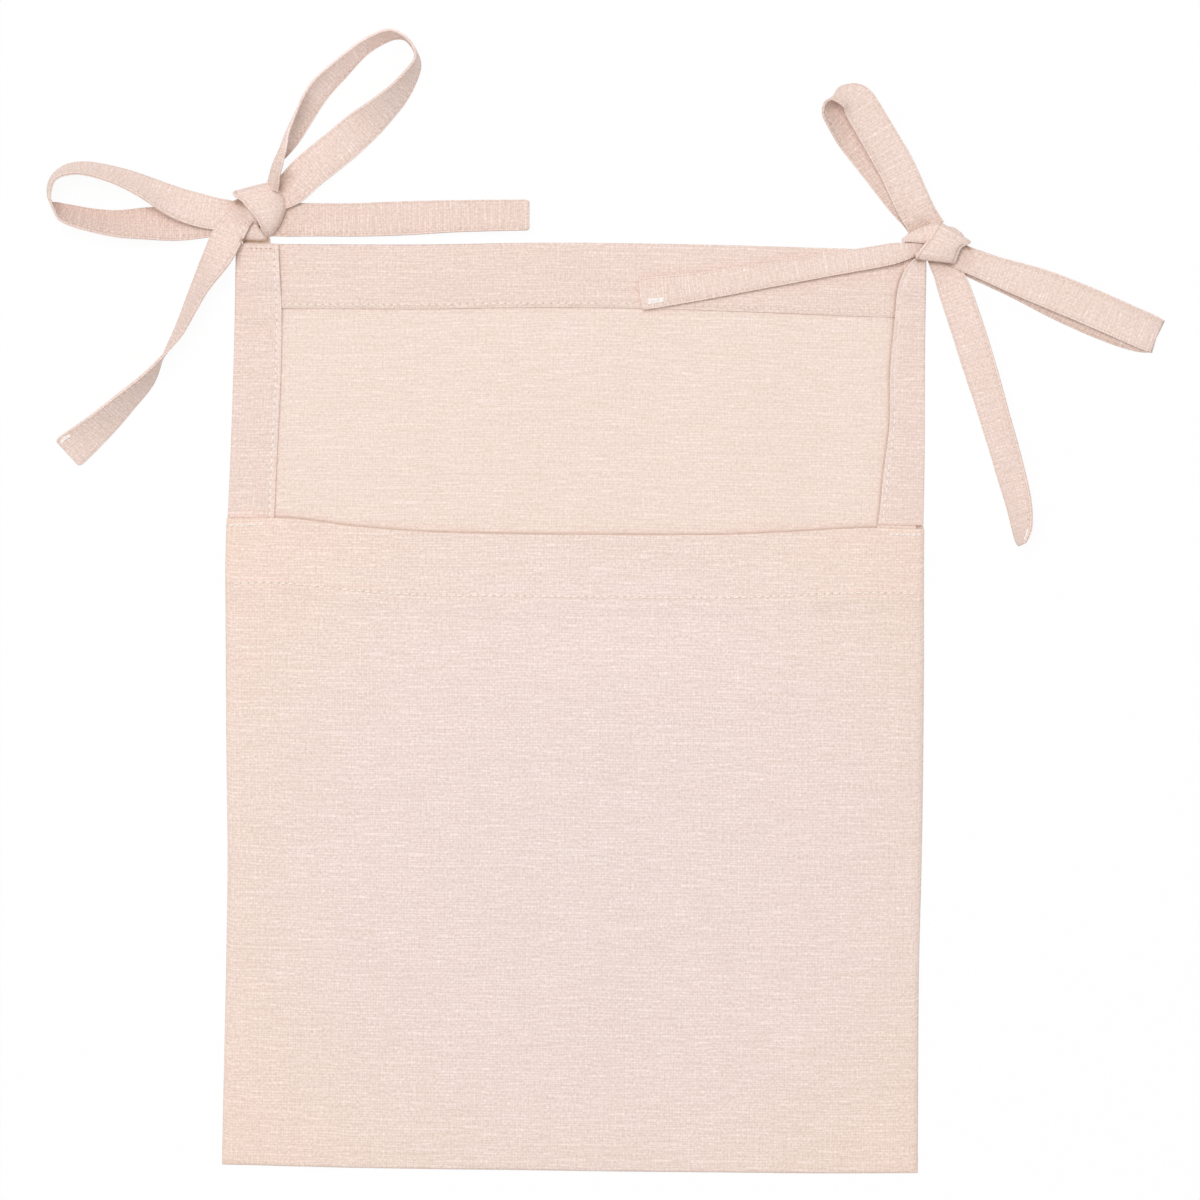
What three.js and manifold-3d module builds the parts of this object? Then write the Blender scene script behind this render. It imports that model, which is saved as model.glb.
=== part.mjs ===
// Crib organizer lying on its back: one strip of cloth, hemmed and folded up at the bottom
// into a wide front pocket, with a tie tape sewn into each top corner and tied in a bow.
// Millimetres. X runs across the front, Y towards the ties, Z up out of the front.
// The origin is the middle of the panel, on its back face.
import * as THREE from 'three';
import { mergeVertices } from 'three/addons/utils/BufferGeometryUtils.js';
import Module from 'manifold-3d';

const wasm = await Module();
wasm.setup();

// The panel and its pocket
const PANEL_W = 300;
const PANEL_H = 400;
const POCKET_H = 281;
const POCKET_ARCH = 6;
const ARCH_RISE_L = 196;
const TOP_HEM_W = 28;
const SIDE_HEM_W = 20;
const MOUTH_HEM_W = 29;
const SEAM_W = 17;

// Layers of cloth and the air between them
const CLOTH_T = 0.6;
const HEM_T = 0.9;
const SEAM_T = 1.2;
const LAYER_GAP = 0.3;
const FOLD_STUB = 1;
const STEP_RUN = 3;
const SIDE_ROUND = 3.5;

// The tie tapes
const TAPE_W = 16;
const TAPE_T = 1.2;
const NARROW_TAIL_W = 13.5;
const TONGUE_L = 15;
const LEFT_TONGUE_W = 12.5;
const RIGHT_TONGUE_W = 8;
const KNOT_PINCH = 0.6;
const PINCH_START = 8;
const PINCH_RUN = 12;
const KNOT_GAP = 0.3;
const HINGE_GAP = 0.3;
const LEFT_TONGUE_IN = 9.5;
const RIGHT_TONGUE_IN = 5.8;

// The bows: the knots' places from the panel's corners, their sizes and the tails' necks.
// The tapes' stations are in hundredths of the bows' reach
const BOW_REACH = 100;
const LEFT_KNOT_IN = 14;
const LEFT_KNOT_UP = 15.5;
const RIGHT_KNOT_OUT = 11.5;
const RIGHT_KNOT_UP = 1;
const KNOT_L = 20;
const KNOT_W = 19;
const KNOT_H = 9.2;
const RIGHT_KNOT_L = 18;
const RIGHT_KNOT_W = 16.6;
const LEFT_LOWER_NECK = 9;
const LEFT_RIGHT_NECK = 22;
const RIGHT_INNER_NECK = 8;
const RIGHT_LOWER_NECK = 16;

// Colours
const CLOTH_COLOUR = 0xf2ded3;
const HEM_COLOUR = 0xf0d8cb;
const TAPE_COLOUR = 0xf0d9cd;

const HALF_W = PANEL_W / 2;
const HALF_H = PANEL_H / 2;
const MOUTH_Y = POCKET_H - HALF_H;
const TAPE_LAYER = TAPE_T + LAYER_GAP;
const STATION = BOW_REACH / 100;

const clamp01 = (t) => Math.min(1, Math.max(0, t));
const ease = (t) => clamp01(t) ** 2 * (3 - 2 * clamp01(t));
const lerp = (a, b, t) => a + (b - a) * t;
const radians = (degrees) => (degrees * Math.PI) / 180;

// Catmull-Rom blend of four neighbouring values
function blend4(a, b, c, d, t) {
  const slope0 = (c - a) / 2;
  const slope1 = (d - b) / 2;
  const t2 = t * t;
  const t3 = t2 * t;
  return (2 * t3 - 3 * t2 + 1) * b + (t3 - 2 * t2 + t) * slope0 + (3 * t2 - 2 * t3) * c + (t3 - t2) * slope1;
}

// Smooth line through values spaced evenly from 0 to 1
function evenly(values) {
  const last = values.length - 1;
  return (t) => {
    const place = clamp01(t) * last;
    const i = Math.min(last - 1, Math.floor(place));
    const pick = (k) => values[Math.min(last, Math.max(0, k))];
    return blend4(pick(i - 1), pick(i), pick(i + 1), pick(i + 2), place - i);
  };
}

// How the cloth lies, in three hundredths of the panel's width: how far each edge of the panel strays
// from its straight line, left and right edge from the bottom up, bottom and top edge from the left
const STRAY = PANEL_W / 300;
const strayLeft = evenly([-1.9, -1, -0.1, 0.5, 0, -0.3, -0.3, 1.5, 2.9, 3.8]);
const strayRight = evenly([-1.6, -1.4, -1.1, 0, 0.7, 1, 1, 1.7, 1.9, 2.4]);
const strayBottom = evenly([1.8, 0.7, -0.1, -0.6, -1.2, -1.6, -2, -1.9]);
const strayTop = evenly([-0.1, -0.3, -0.3, 0.4, 0.2, -0.7, -1.9, -3.1]);
const mouthDip = evenly([0.2, 0, 3.1, 5.2, 6.3, 6.9, 6.8, 6.5, 5.8, 3.8, 1.8, 1.6]);

function lie(x, y, z) {
  const u = clamp01(x / PANEL_W + 0.5);
  const v = clamp01(y / PANEL_H + 0.5);
  const dx = lerp(strayLeft(v), strayRight(v), u);
  const dy = lerp(strayBottom(u), strayTop(u), v);
  return new THREE.Vector3(x + dx * STRAY, y + dy * STRAY, z);
}

// A closed solid round a sheet: rows of points on its middle surface, each with its half thickness
function sheetSolid(rows) {
  const last = rows.length - 1;
  const width = rows[0].length;
  const along = new THREE.Vector3();
  const across = new THREE.Vector3();
  const upper = [];
  const lower = [];
  for (let i = 0; i <= last; i++) {
    for (let j = 0; j < width; j++) {
      const { p, half } = rows[i][j];
      along.subVectors(rows[Math.min(last, i + 1)][j].p, rows[Math.max(0, i - 1)][j].p);
      across.subVectors(rows[i][Math.min(width - 1, j + 1)].p, rows[i][Math.max(0, j - 1)].p);
      const normal = new THREE.Vector3().crossVectors(across, along).normalize();
      upper.push(p.clone().addScaledVector(normal, half));
      lower.push(p.clone().addScaledVector(normal, -half));
    }
  }
  const count = upper.length;
  const index = [];
  const quad = (a, b, c, d) => index.push(a, b, c, a, c, d);
  for (let i = 0; i < last; i++) {
    for (let j = 0; j < width - 1; j++) {
      const a = i * width + j;
      const b = a + width;
      quad(a, a + 1, b + 1, b);
      quad(count + a, count + b, count + b + 1, count + a + 1);
    }
    const left = i * width;
    const right = left + width - 1;
    quad(left, left + width, count + left + width, count + left);
    quad(right, count + right, count + right + width, right + width);
  }
  const top = last * width;
  for (let j = 0; j < width - 1; j++) {
    quad(j, count + j, count + j + 1, j + 1);
    quad(top + j, top + j + 1, count + top + j + 1, count + top + j);
  }
  const geometry = new THREE.BufferGeometry();
  const corners = [...upper, ...lower].flatMap((p) => [p.x, p.y, p.z]);
  geometry.setAttribute('position', new THREE.Float32BufferAttribute(corners, 3));
  geometry.setIndex(index);
  return geometry;
}

// A fold seen end on, from the back layer round to the front: distance in from the fold, z, half thickness.
// depth is how far in from the fold its round part starts.
function foldSteps(back, front, turns, depth = (front.z - back.z) / 2 + Math.max(back.half, front.half)) {
  const radius = depth - Math.max(back.half, front.half);
  const middle = (back.z + front.z) / 2;
  const steps = [[depth + FOLD_STUB, back.z, back.half]];
  for (let k = 0; k <= turns; k++) {
    const angle = (Math.PI * k) / turns;
    const z = middle - (middle - back.z) * Math.cos(angle);
    steps.push([depth - radius * Math.sin(angle), z, lerp(back.half, front.half, k / turns)]);
  }
  return steps;
}

// The reach of a side or top fold round the panel's edge, and where the flat panel then starts
const HEM_LOW = CLOTH_T + LAYER_GAP;
const HEM_MID = HEM_LOW + HEM_T / 2;
const HEM_FOLD = (HEM_MID - CLOTH_T / 2) / 2 + HEM_T / 2;
const PANEL_INSET = HEM_FOLD + FOLD_STUB + LAYER_GAP;
const BACK_LAYER = { z: CLOTH_T / 2, half: CLOTH_T / 2 };

// Underside of the side hem at height y: it climbs over the top hem, then over the tape's tongue
function sideHemLow(y) {
  const overHem = ease((y - (HALF_H - TOP_HEM_W - LAYER_GAP - STEP_RUN)) / STEP_RUN);
  const overTongue = ease((y - (HALF_H - TONGUE_L - LAYER_GAP - STEP_RUN)) / STEP_RUN);
  return HEM_LOW + overHem * (HEM_T + LAYER_GAP) + overTongue * TAPE_LAYER;
}

// Where the pocket's mouth runs, dipping between its two corners
function mouthAt(x) {
  return MOUTH_Y - mouthDip(x / PANEL_W + 0.5) * STRAY;
}

// Underside of the pocket front: low at the sides, over the seams and the hem, and arched between them
function pocketLow(x, y) {
  const fromSide = clamp01((HALF_W - Math.abs(x)) / SIDE_ROUND);
  const round = Math.sqrt(1 - (1 - fromSide) ** 2);
  const overHem = ease((MOUTH_HEM_W + LAYER_GAP + STEP_RUN - (mouthAt(x) - y)) / STEP_RUN);
  const arch = POCKET_ARCH * (1 - (x / HALF_W) ** 4) * ease((y + HALF_H) / ARCH_RISE_L);
  return HEM_LOW + round * (SEAM_T + LAYER_GAP) + overHem * (HEM_T + LAYER_GAP) + arch;
}

// Even steps from a to b, both ends included
function spread(a, b, count) {
  return Array.from({ length: count + 1 }, (_, k) => lerp(a, b, k / count));
}

function backPanel() {
  const inner = HALF_W - PANEL_INSET;
  const low = -HALF_H + (SEAM_T + CLOTH_T + 2 * LAYER_GAP) / 2 + CLOTH_T / 2 + FOLD_STUB + LAYER_GAP;
  const high = HALF_H - PANEL_INSET;
  const levels = [
    ...spread(low, MOUTH_Y - 2 * LAYER_GAP, 12).map((y) => [y, HALF_W]),
    ...spread(MOUTH_Y, high, 6).map((y) => [y, inner]),
  ];
  const rows = levels.map(([y, half]) =>
    spread(-half, half, 8).map((x) => ({ p: lie(x, y, CLOTH_T / 2), half: CLOTH_T / 2 })),
  );
  return sheetSolid(rows);
}

function topHem() {
  const steps = foldSteps(BACK_LAYER, { z: HEM_MID, half: HEM_T / 2 }, 6);
  steps.push([TOP_HEM_W / 2, HEM_MID, HEM_T / 2], [TOP_HEM_W, HEM_MID, HEM_T / 2]);
  const reach = HALF_W - PANEL_INSET;
  const rows = steps.map(([inward, z, half]) =>
    spread(-reach, reach, 12).map((x) => ({ p: lie(x, HALF_H - inward, z), half })),
  );
  return sheetSolid(rows);
}

// side is -1 on the left and 1 on the right; reach gives the hem's width from the mouth up to the top
function sideHem(side, reach) {
  const start = MOUTH_Y + LAYER_GAP;
  const climb = [TOP_HEM_W + LAYER_GAP + STEP_RUN, TOP_HEM_W + LAYER_GAP, TONGUE_L + LAYER_GAP + STEP_RUN];
  const levels = [
    ...spread(start, HALF_H - climb[0], 6),
    HALF_H - lerp(climb[0], climb[1], 0.5),
    HALF_H - climb[1],
    HALF_H - climb[2],
    HALF_H - climb[2] + STEP_RUN / 2,
    HALF_H - climb[2] + STEP_RUN,
    HALF_H - FOLD_STUB,
    HALF_H,
  ];
  const rows = levels.map((y) => {
    const mid = sideHemLow(y) + HEM_T / 2;
    const width = reach((y - MOUTH_Y) / (HALF_H - MOUTH_Y));
    const steps = foldSteps(BACK_LAYER, { z: mid, half: HEM_T / 2 }, 6, HEM_FOLD);
    steps.push([lerp(steps[7][0], width, 0.5), mid, HEM_T / 2], [width, mid, HEM_T / 2]);
    return steps.map(([inward, z, half]) => ({ p: lie(side * (HALF_W - inward), y, z), half }));
  });
  return sheetSolid(rows);
}

// The pocket front's columns from side to side, and how far in from the mouth its hem's rows lie
const POCKET_EDGE = [0, 0.1, 0.3, 0.6, 1].map((share) => share * SIDE_ROUND);
const POCKET_FLAT = HALF_W - SEAM_W + 5 * FOLD_STUB;
const POCKET_INNER = spread(-POCKET_FLAT, POCKET_FLAT, 12);
const MOUTH_FOLD = ((CLOTH_T + HEM_T) / 2 + LAYER_GAP) / 2 + CLOTH_T / 2;
const MOUTH_HEM_ROWS = spread(MOUTH_HEM_W, MOUTH_FOLD + FOLD_STUB + LAYER_GAP, 3);

function pocketFront() {
  const half = CLOTH_T / 2;
  const left = POCKET_EDGE.map((d) => d - HALF_W);
  const columns = [...left, ...POCKET_INNER, ...left.map((x) => -x).reverse()];
  const rows = columns.map((x) => {
    const mouth = mouthAt(x);
    const bottom = foldSteps(BACK_LAYER, { z: pocketLow(x, -HALF_H) + half, half }, 6);
    const row = bottom.map(([inward, z]) => ({ p: lie(x, inward - HALF_H, z), half }));
    const first = bottom[bottom.length - 1][0] - HALF_H;
    const overHem = mouth - MOUTH_HEM_W - LAYER_GAP;
    const levels = [
      ...spread(first, overHem - STEP_RUN, 9).slice(1),
      overHem - STEP_RUN / 2,
      overHem,
      ...MOUTH_HEM_ROWS.map((inward) => mouth - inward),
    ];
    row.push(...levels.map((y) => ({ p: lie(x, y, pocketLow(x, y) + half), half })));
    const top = pocketLow(x, mouth) + half;
    const under = top - (CLOTH_T + HEM_T) / 2 - LAYER_GAP;
    const turned = foldSteps({ z: under, half }, { z: top, half }, 5, MOUTH_FOLD).reverse();
    row.push(...turned.map(([inward, z]) => ({ p: lie(x, mouth - inward, z), half })));
    return row;
  });
  return sheetSolid(rows);
}

function pocketMouthHem() {
  const reach = HALF_W - SIDE_ROUND - LAYER_GAP;
  const rows = [-reach, ...POCKET_INNER, reach].map((x) =>
    MOUTH_HEM_ROWS.map((inward) => {
      const y = mouthAt(x) - inward;
      return { p: lie(x, y, pocketLow(x, y) - LAYER_GAP - HEM_T / 2), half: HEM_T / 2 };
    }),
  );
  return sheetSolid(rows);
}

function sideSeam(side) {
  const start = SIDE_ROUND - LAYER_GAP;
  const z = CLOTH_T + LAYER_GAP + SEAM_T / 2;
  const rows = spread(-HALF_H + start, MOUTH_Y - LAYER_GAP, 14).map((y) =>
    spread(start, start + SEAM_W, 2).map((inward) => ({
      p: lie(side * (HALF_W - inward), y, z),
      half: SEAM_T / 2,
    })),
  );
  return sheetSolid(rows);
}

// The tapes run along hand placed stations: x and y from the knot, lift in layers of tape,
// heading of the tape's width in plan, and how steeply that width leans up
class Tape {
  constructor(knot, stations, width = TAPE_W, perStation = 3) {
    const widths = stations.map(([, , , heading, lean]) => {
      const flat = Math.cos(radians(lean));
      return [flat * Math.cos(radians(heading)), flat * Math.sin(radians(heading)), Math.sin(radians(lean))];
    });
    const channels = stations.map(([x, y, lift], i) => [x, y, lift, ...widths[i]]);
    const last = channels.length - 1;
    const pick = (k) => channels[Math.min(last, Math.max(0, k))];
    this.width = width;
    this.samples = [];
    for (let step = 0; step <= last * perStation; step++) {
      const i = Math.min(last - 1, Math.floor(step / perStation));
      const t = step / perStation - i;
      const [x, y, lift, wx, wy, wz] = channels[0].map((_, c) =>
        blend4(pick(i - 1)[c], pick(i)[c], pick(i + 1)[c], pick(i + 2)[c], t),
      );
      const across = new THREE.Vector3(wx, wy, wz).normalize();
      const rise = (width / 2) * Math.abs(across.z) + TAPE_T / 2;
      const z = Math.max(0, lift) * TAPE_LAYER + rise;
      const p = new THREE.Vector3(knot.x + x * STATION, knot.y + y * STATION, z);
      const before = this.samples[this.samples.length - 1];
      this.samples.push({ p, across, s: before ? before.s + before.p.distanceTo(p) : 0 });
    }
    this.length = this.samples[this.samples.length - 1].s;
  }

  at(s) {
    const { samples } = this;
    const found = samples.findIndex((sample) => sample.s >= s);
    const i = found < 1 ? 1 : found;
    const t = clamp01((s - samples[i - 1].s) / (samples[i].s - samples[i - 1].s));
    const p = samples[i - 1].p.clone().lerp(samples[i].p, t);
    const across = samples[i - 1].across.clone().lerp(samples[i].across, t).normalize();
    return { p, across, s };
  }

  // The solid between two lengths along the tape, drawn in where it enters a knot
  solid(from = 0, to = this.length, pinchedEnds = 1) {
    const inside = this.samples.filter(({ s }) => s > from + TAPE_T / 2 && s < to - TAPE_T / 2);
    const stations = [this.at(from), ...inside, this.at(to)];
    const rows = stations.map(({ p, across, s }) => {
      const nearest = pinchedEnds === 2 ? Math.min(s, this.length - s) : s;
      const past = Math.max(0, nearest - PINCH_START) / PINCH_RUN;
      const share = pinchedEnds === 0 ? 1 : 1 - (1 - KNOT_PINCH) * Math.exp(-past);
      const reach = (this.width / 2) * share;
      const half = TAPE_T / 2;
      return [1, 0, -1].map((side) => ({ p: p.clone().addScaledVector(across, side * reach), half }));
    });
    return sheetSolid(rows);
  }
}

function toManifold(geometry) {
  const plain = new THREE.BufferGeometry();
  plain.setAttribute('position', geometry.getAttribute('position'));
  plain.setIndex(geometry.getIndex());
  const merged = mergeVertices(plain, 1e-4);
  const vertProperties = new Float32Array(merged.getAttribute('position').array);
  const triVerts = new Uint32Array(merged.getIndex().array);
  return new wasm.Manifold(new wasm.Mesh({ numProp: 3, vertProperties, triVerts }));
}

function fromManifold(solid) {
  const { vertProperties, triVerts } = solid.getMesh();
  const geometry = new THREE.BufferGeometry();
  geometry.setAttribute('position', new THREE.BufferAttribute(vertProperties, 3));
  geometry.setIndex(new THREE.BufferAttribute(triVerts, 1));
  return geometry;
}

// A knot: a rounded lump with a furrow on each side of the band that wraps it, in shares of its size
const FURROW = 0.07;
const FURROW_AT = 0.55;
const FURROW_W = 0.15;
function knotLump(knot, grow, furrow) {
  const geometry = new THREE.SphereGeometry(1, 20, 14);
  const position = geometry.getAttribute('position');
  const { radii, turn } = knot;
  const point = new THREE.Vector3();
  for (let i = 0; i < position.count; i++) {
    point.fromBufferAttribute(position, i);
    const scale = 1 - furrow * Math.exp(-(((Math.abs(point.x) - FURROW_AT) / FURROW_W) ** 2));
    point.multiplyScalar(scale);
    point.multiply(new THREE.Vector3(radii[0] + grow, radii[1] + grow, radii[2] + grow));
    point.applyAxisAngle(new THREE.Vector3(0, 0, 1), radians(turn));
    point.add(new THREE.Vector3(knot.x, knot.y, radii[2]));
    position.setXYZ(i, point.x, point.y, point.z);
  }
  geometry.deleteAttribute('normal');
  geometry.deleteAttribute('uv');
  return mergeVertices(geometry, 1e-4);
}

const leftKnot = {
  x: LEFT_KNOT_IN - HALF_W,
  y: HALF_H + LEFT_KNOT_UP,
  radii: [KNOT_L / 2, KNOT_W / 2, KNOT_H / 2],
  turn: -40,
};
const rightKnot = {
  x: HALF_W + RIGHT_KNOT_OUT,
  y: HALF_H + RIGHT_KNOT_UP,
  radii: [RIGHT_KNOT_L / 2, RIGHT_KNOT_W / 2, KNOT_H / 2],
  turn: 20,
};

const group = new THREE.Group();

function add(name, geometry, colour) {
  geometry.computeVertexNormals();
  const material = new THREE.MeshStandardMaterial({ color: colour, roughness: 0.9, metalness: 0 });
  const mesh = new THREE.Mesh(geometry, material);
  mesh.name = name;
  group.add(mesh);
}

function addTrimmed(name, geometry, knot) {
  const clear = toManifold(knotLump(knot, KNOT_GAP, 0));
  add(name, fromManifold(toManifold(geometry).subtract(clear)), TAPE_COLOUR);
}

add('back_panel', backPanel(), CLOTH_COLOUR);
add('top_hem', topHem(), HEM_COLOUR);
add('left_side_hem', sideHem(-1, () => SIDE_HEM_W), HEM_COLOUR);
const rightReach = evenly([1, 0.93, 0.8, 0.76, 0.75, 0.72, 0.62, 0.5]);
add('right_side_hem', sideHem(1, (up) => SIDE_HEM_W * rightReach(up)), HEM_COLOUR);
add('pocket_front', pocketFront(), CLOTH_COLOUR);
add('pocket_mouth_hem', pocketMouthHem(), HEM_COLOUR);
add('left_side_seam', sideSeam(-1), HEM_COLOUR);
add('right_side_seam', sideSeam(1), HEM_COLOUR);

add('left_knot', knotLump(leftKnot, 0, FURROW), TAPE_COLOUR);
add('right_knot', knotLump(rightKnot, 0, FURROW), TAPE_COLOUR);

const leftOuterLoop = new Tape(leftKnot, [
  [-3, 0, 2.2, -106, 0],
  [-12, -0.5, 2, -106, 4],
  [-21, -1, 1.6, -106, 10],
  [-34, 2, 0.7, -107, 28],
  [-47, 7.5, 0, -110, 50],
  [-58, 12.5, 0, -110, 62],
  [-67.5, 15.8, 0, -105, 69],
  [-76, 17.3, 0, -95, 75],
  [-83, 16.5, 0, -75, 82],
  [-88.5, 13, 0, -60, 86],
  [-90.5, 7.8, 0, -60, 87],
  [-90, 2.2, 0, -75, 86],
  [-86, -1.8, 0, -85, 68],
  [-79.5, -4.3, 0, -95, 56],
  [-71, -6, 0, -98, 50],
  [-60, -7.3, 0, -95, 40],
  [-48.5, -7.3, 0, -91, 28],
  [-35, -7.2, 0, -90, 15],
  [-22.5, -6, 0, -88, 8],
  [-12, -3.5, 0, -80, 3],
  [-3, -1, 0, -75, 0],
]);
addTrimmed('left_outer_loop', leftOuterLoop.solid(0, leftOuterLoop.length, 2), leftKnot);

const leftUpperLoop = new Tape(leftKnot, [
  [2, 3, 2.3, 128, 0],
  [13, 7.5, 2.4, 130, 4],
  [21.5, 15.5, 1.6, 133, 6],
  [35, 26.5, 0.6, 135, 10],
  [43, 33.5, 0.1, 135, 18],
  [52, 41, 0, 135, 38],
  [60, 49, 0, 132, 53],
  [66, 57.5, 0, 125, 68],
  [68.3, 63.5, 0, 125, 78],
  [66.5, 69.6, 0, 140, 84],
  [62.3, 74, 0, 140, 82],
  [57, 75.7, 0, 125, 73],
  [50, 73.5, 0, 120, 65],
  [43, 68.3, 0, 125, 58],
  [34, 59, 0, 133, 50],
  [25.5, 49.7, 0, 140, 49],
  [17, 37.2, 0, 148, 62],
  [10.5, 24.6, 0, 155, 76],
  [7, 16, 0.2, 162, 66],
  [3.6, 9.5, 0.4, 158, 18],
  [1.5, 3, 0.6, 150, 0],
]);
addTrimmed('left_upper_loop', leftUpperLoop.solid(0, leftUpperLoop.length, 2), leftKnot);

const rightUpperLoop = new Tape(rightKnot, [
  [-5.4, 4.8, 3, 27, 0],
  [-12.3, 12.6, 2.9, 27, 0],
  [-21.8, 30.8, 3.6, 28, 0],
  [-30, 46.4, 4.2, 28, 0],
  [-35.2, 55, 4.5, 26, 0],
  [-40, 61.5, 4.2, 22, 0],
  [-43.9, 66.2, 2.4, 18, 0],
  [-43.9, 61, 0.5, 22, 0],
  [-44.7, 53.3, 0.1, 30, 0],
  [-40.8, 46, 0, 33, 0],
  [-29.2, 31.2, 0, 36, 0],
  [-15.3, 12.2, 0, 36, 0],
  [-7.5, 4, 0.2, 36, 0],
]);
addTrimmed('right_upper_loop', rightUpperLoop.solid(0, rightUpperLoop.length, 2), rightKnot);

const rightOuterLoop = new Tape(rightKnot, [
  [1.1, -3.8, 2.2, 68, 0],
  [8, -6, 2.2, 68, 0],
  [16.3, -9.9, 2.1, 68, 0],
  [27.7, -14.2, 1.8, 68, 0],
  [40.9, -19.8, 1.7, 67, 0],
  [53, -25, 1.7, 67, 0],
  [65.8, -30.4, 1.7, 67, 0],
  [78.3, -36, 1.6, 66, 0],
  [85.5, -39.3, 1.5, 66, 0],
  [88.9, -40.8, 0.75, 66, 0],
  [84.6, -39.9, 0, 66, 0],
  [72, -36, 0, 67, 0],
  [60, -31, 0, 66, 0],
  [47.8, -26.3, 0, 65, 0],
  [36, -20.5, 0, 64, 0],
  [24.5, -14.4, 0, 64, 0],
  [12.4, -9, 0, 66, 0],
  [3.3, -4.7, 0, 68, 0],
]);
addTrimmed('right_outer_loop', rightOuterLoop.solid(0, rightOuterLoop.length, 2), rightKnot);

// A tail leaves its knot in a short neck, and swings from where the neck ends
function addTail(name, knot, neck, tape) {
  addTrimmed(`${name}_neck`, tape.solid(0, neck - HINGE_GAP / 2), knot);
  add(name, tape.solid(neck + HINGE_GAP / 2), TAPE_COLOUR);
}

addTail('left_lower_tail', leftKnot, LEFT_LOWER_NECK, new Tape(leftKnot, [
  [-3, 1.5, 3.6, -27, 0],
  [-7, -3, 3.9, -27, 8],
  [-13.5, -11.2, 4.2, -25, 25],
  [-17.6, -21, 2.6, -23, 40],
  [-23.9, -33.5, 0.6, -22, 57],
  [-29.3, -44.7, 0, -20, 66],
  [-35, -54.7, 0, -25, 74],
  [-41.8, -64.6, 0, -32, 88],
  [-49.2, -75, 0, -38, 112],
  [-59.5, -85, 0, -42, 126],
  [-71.2, -95.8, 0, -44, 140],
  [-82.5, -106, 0, -46, 166],
]));

addTail('left_right_tail', leftKnot, LEFT_RIGHT_NECK, new Tape(leftKnot, [
  [2.3, -1.9, 0.4, 90, 0],
  [11, -5, 0.4, 90, 0],
  [21.8, -5.3, 0.2, 90, -10],
  [43.4, -5.1, 0, 90, -14],
  [65, -4.3, 0, 88, -10],
  [86.6, -3.6, 0, 87, -16],
  [104, -3.3, 0, 87, -20],
  [116, -3.2, 0, 86, -22],
]));

addTail('right_inner_tail', rightKnot, RIGHT_INNER_NECK, new Tape(rightKnot, [
  [-5.4, -2.9, 3.6, 98, 0],
  [-16.2, -4.7, 3.5, 98, 5],
  [-22.5, -5.7, 3.1, 98, 12],
  [-30, -7, 2, 98, 22],
  [-42, -9, 1.5, 99, 30],
  [-52, -10.5, 1.45, 99, 32],
  [-78.9, -15.3, 1.45, 99, 28],
  [-110, -20.5, 1.45, 98, 20],
  [-133, -23.5, 1.45, 98, 14],
], NARROW_TAIL_W));

addTail('right_lower_tail', rightKnot, RIGHT_LOWER_NECK, new Tape(rightKnot, [
  [-4, -4, 1.1, 20, 0],
  [-2, -10, 1.1, 20, 0],
  [1.2, -16.5, 1.05, 20, 0],
  [5.9, -31.5, 0, 17, 16],
  [13.9, -56.6, 0, 19, 25],
  [22.5, -82, 0, 18, 34],
  [28.6, -102.4, 0, 14, 38],
  [31.6, -114, 0, 8, 46],
  [32.5, -124.5, 0, 2, 62],
  [31.8, -131.4, 0, -5, 84],
]));

// The end of each tape is sewn under the side hem, on top of the top hem, and runs out to its knot
const TONGUE_LIFT = (HEM_LOW + HEM_T + LAYER_GAP) / TAPE_LAYER;
function addRoot(name, knot, tongueX, width, beyond) {
  const held = [-TONGUE_L, -TONGUE_L / 2, TAPE_T / 2].map((dy) => {
    const p = lie(tongueX, HALF_H + dy, 0);
    return [(p.x - knot.x) / STATION, (p.y - knot.y) / STATION, TONGUE_LIFT, 0, 0];
  });
  addTrimmed(name, new Tape(knot, [...held, ...beyond], width).solid(0, undefined, 0), knot);
}

addRoot('left_tie_root', leftKnot, LEFT_TONGUE_IN - HALF_W, LEFT_TONGUE_W, [
  [-0.5, -9, 1.35, 0, 0],
  [0, -3, 1.3, 0, 0],
]);
addRoot('right_tie_root', rightKnot, HALF_W - RIGHT_TONGUE_IN, RIGHT_TONGUE_W, [
  [-14.4, 0.2, 1.4, -10, 0],
  [-11, 3, 1.4, -55, 0],
  [-5, 2, 1.4, -105, 0],
]);

export default group;
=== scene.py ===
"""Crib organizer on its back: a hemmed cloth panel folded up into a pocket, a tied bow at each corner."""

import math

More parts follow.
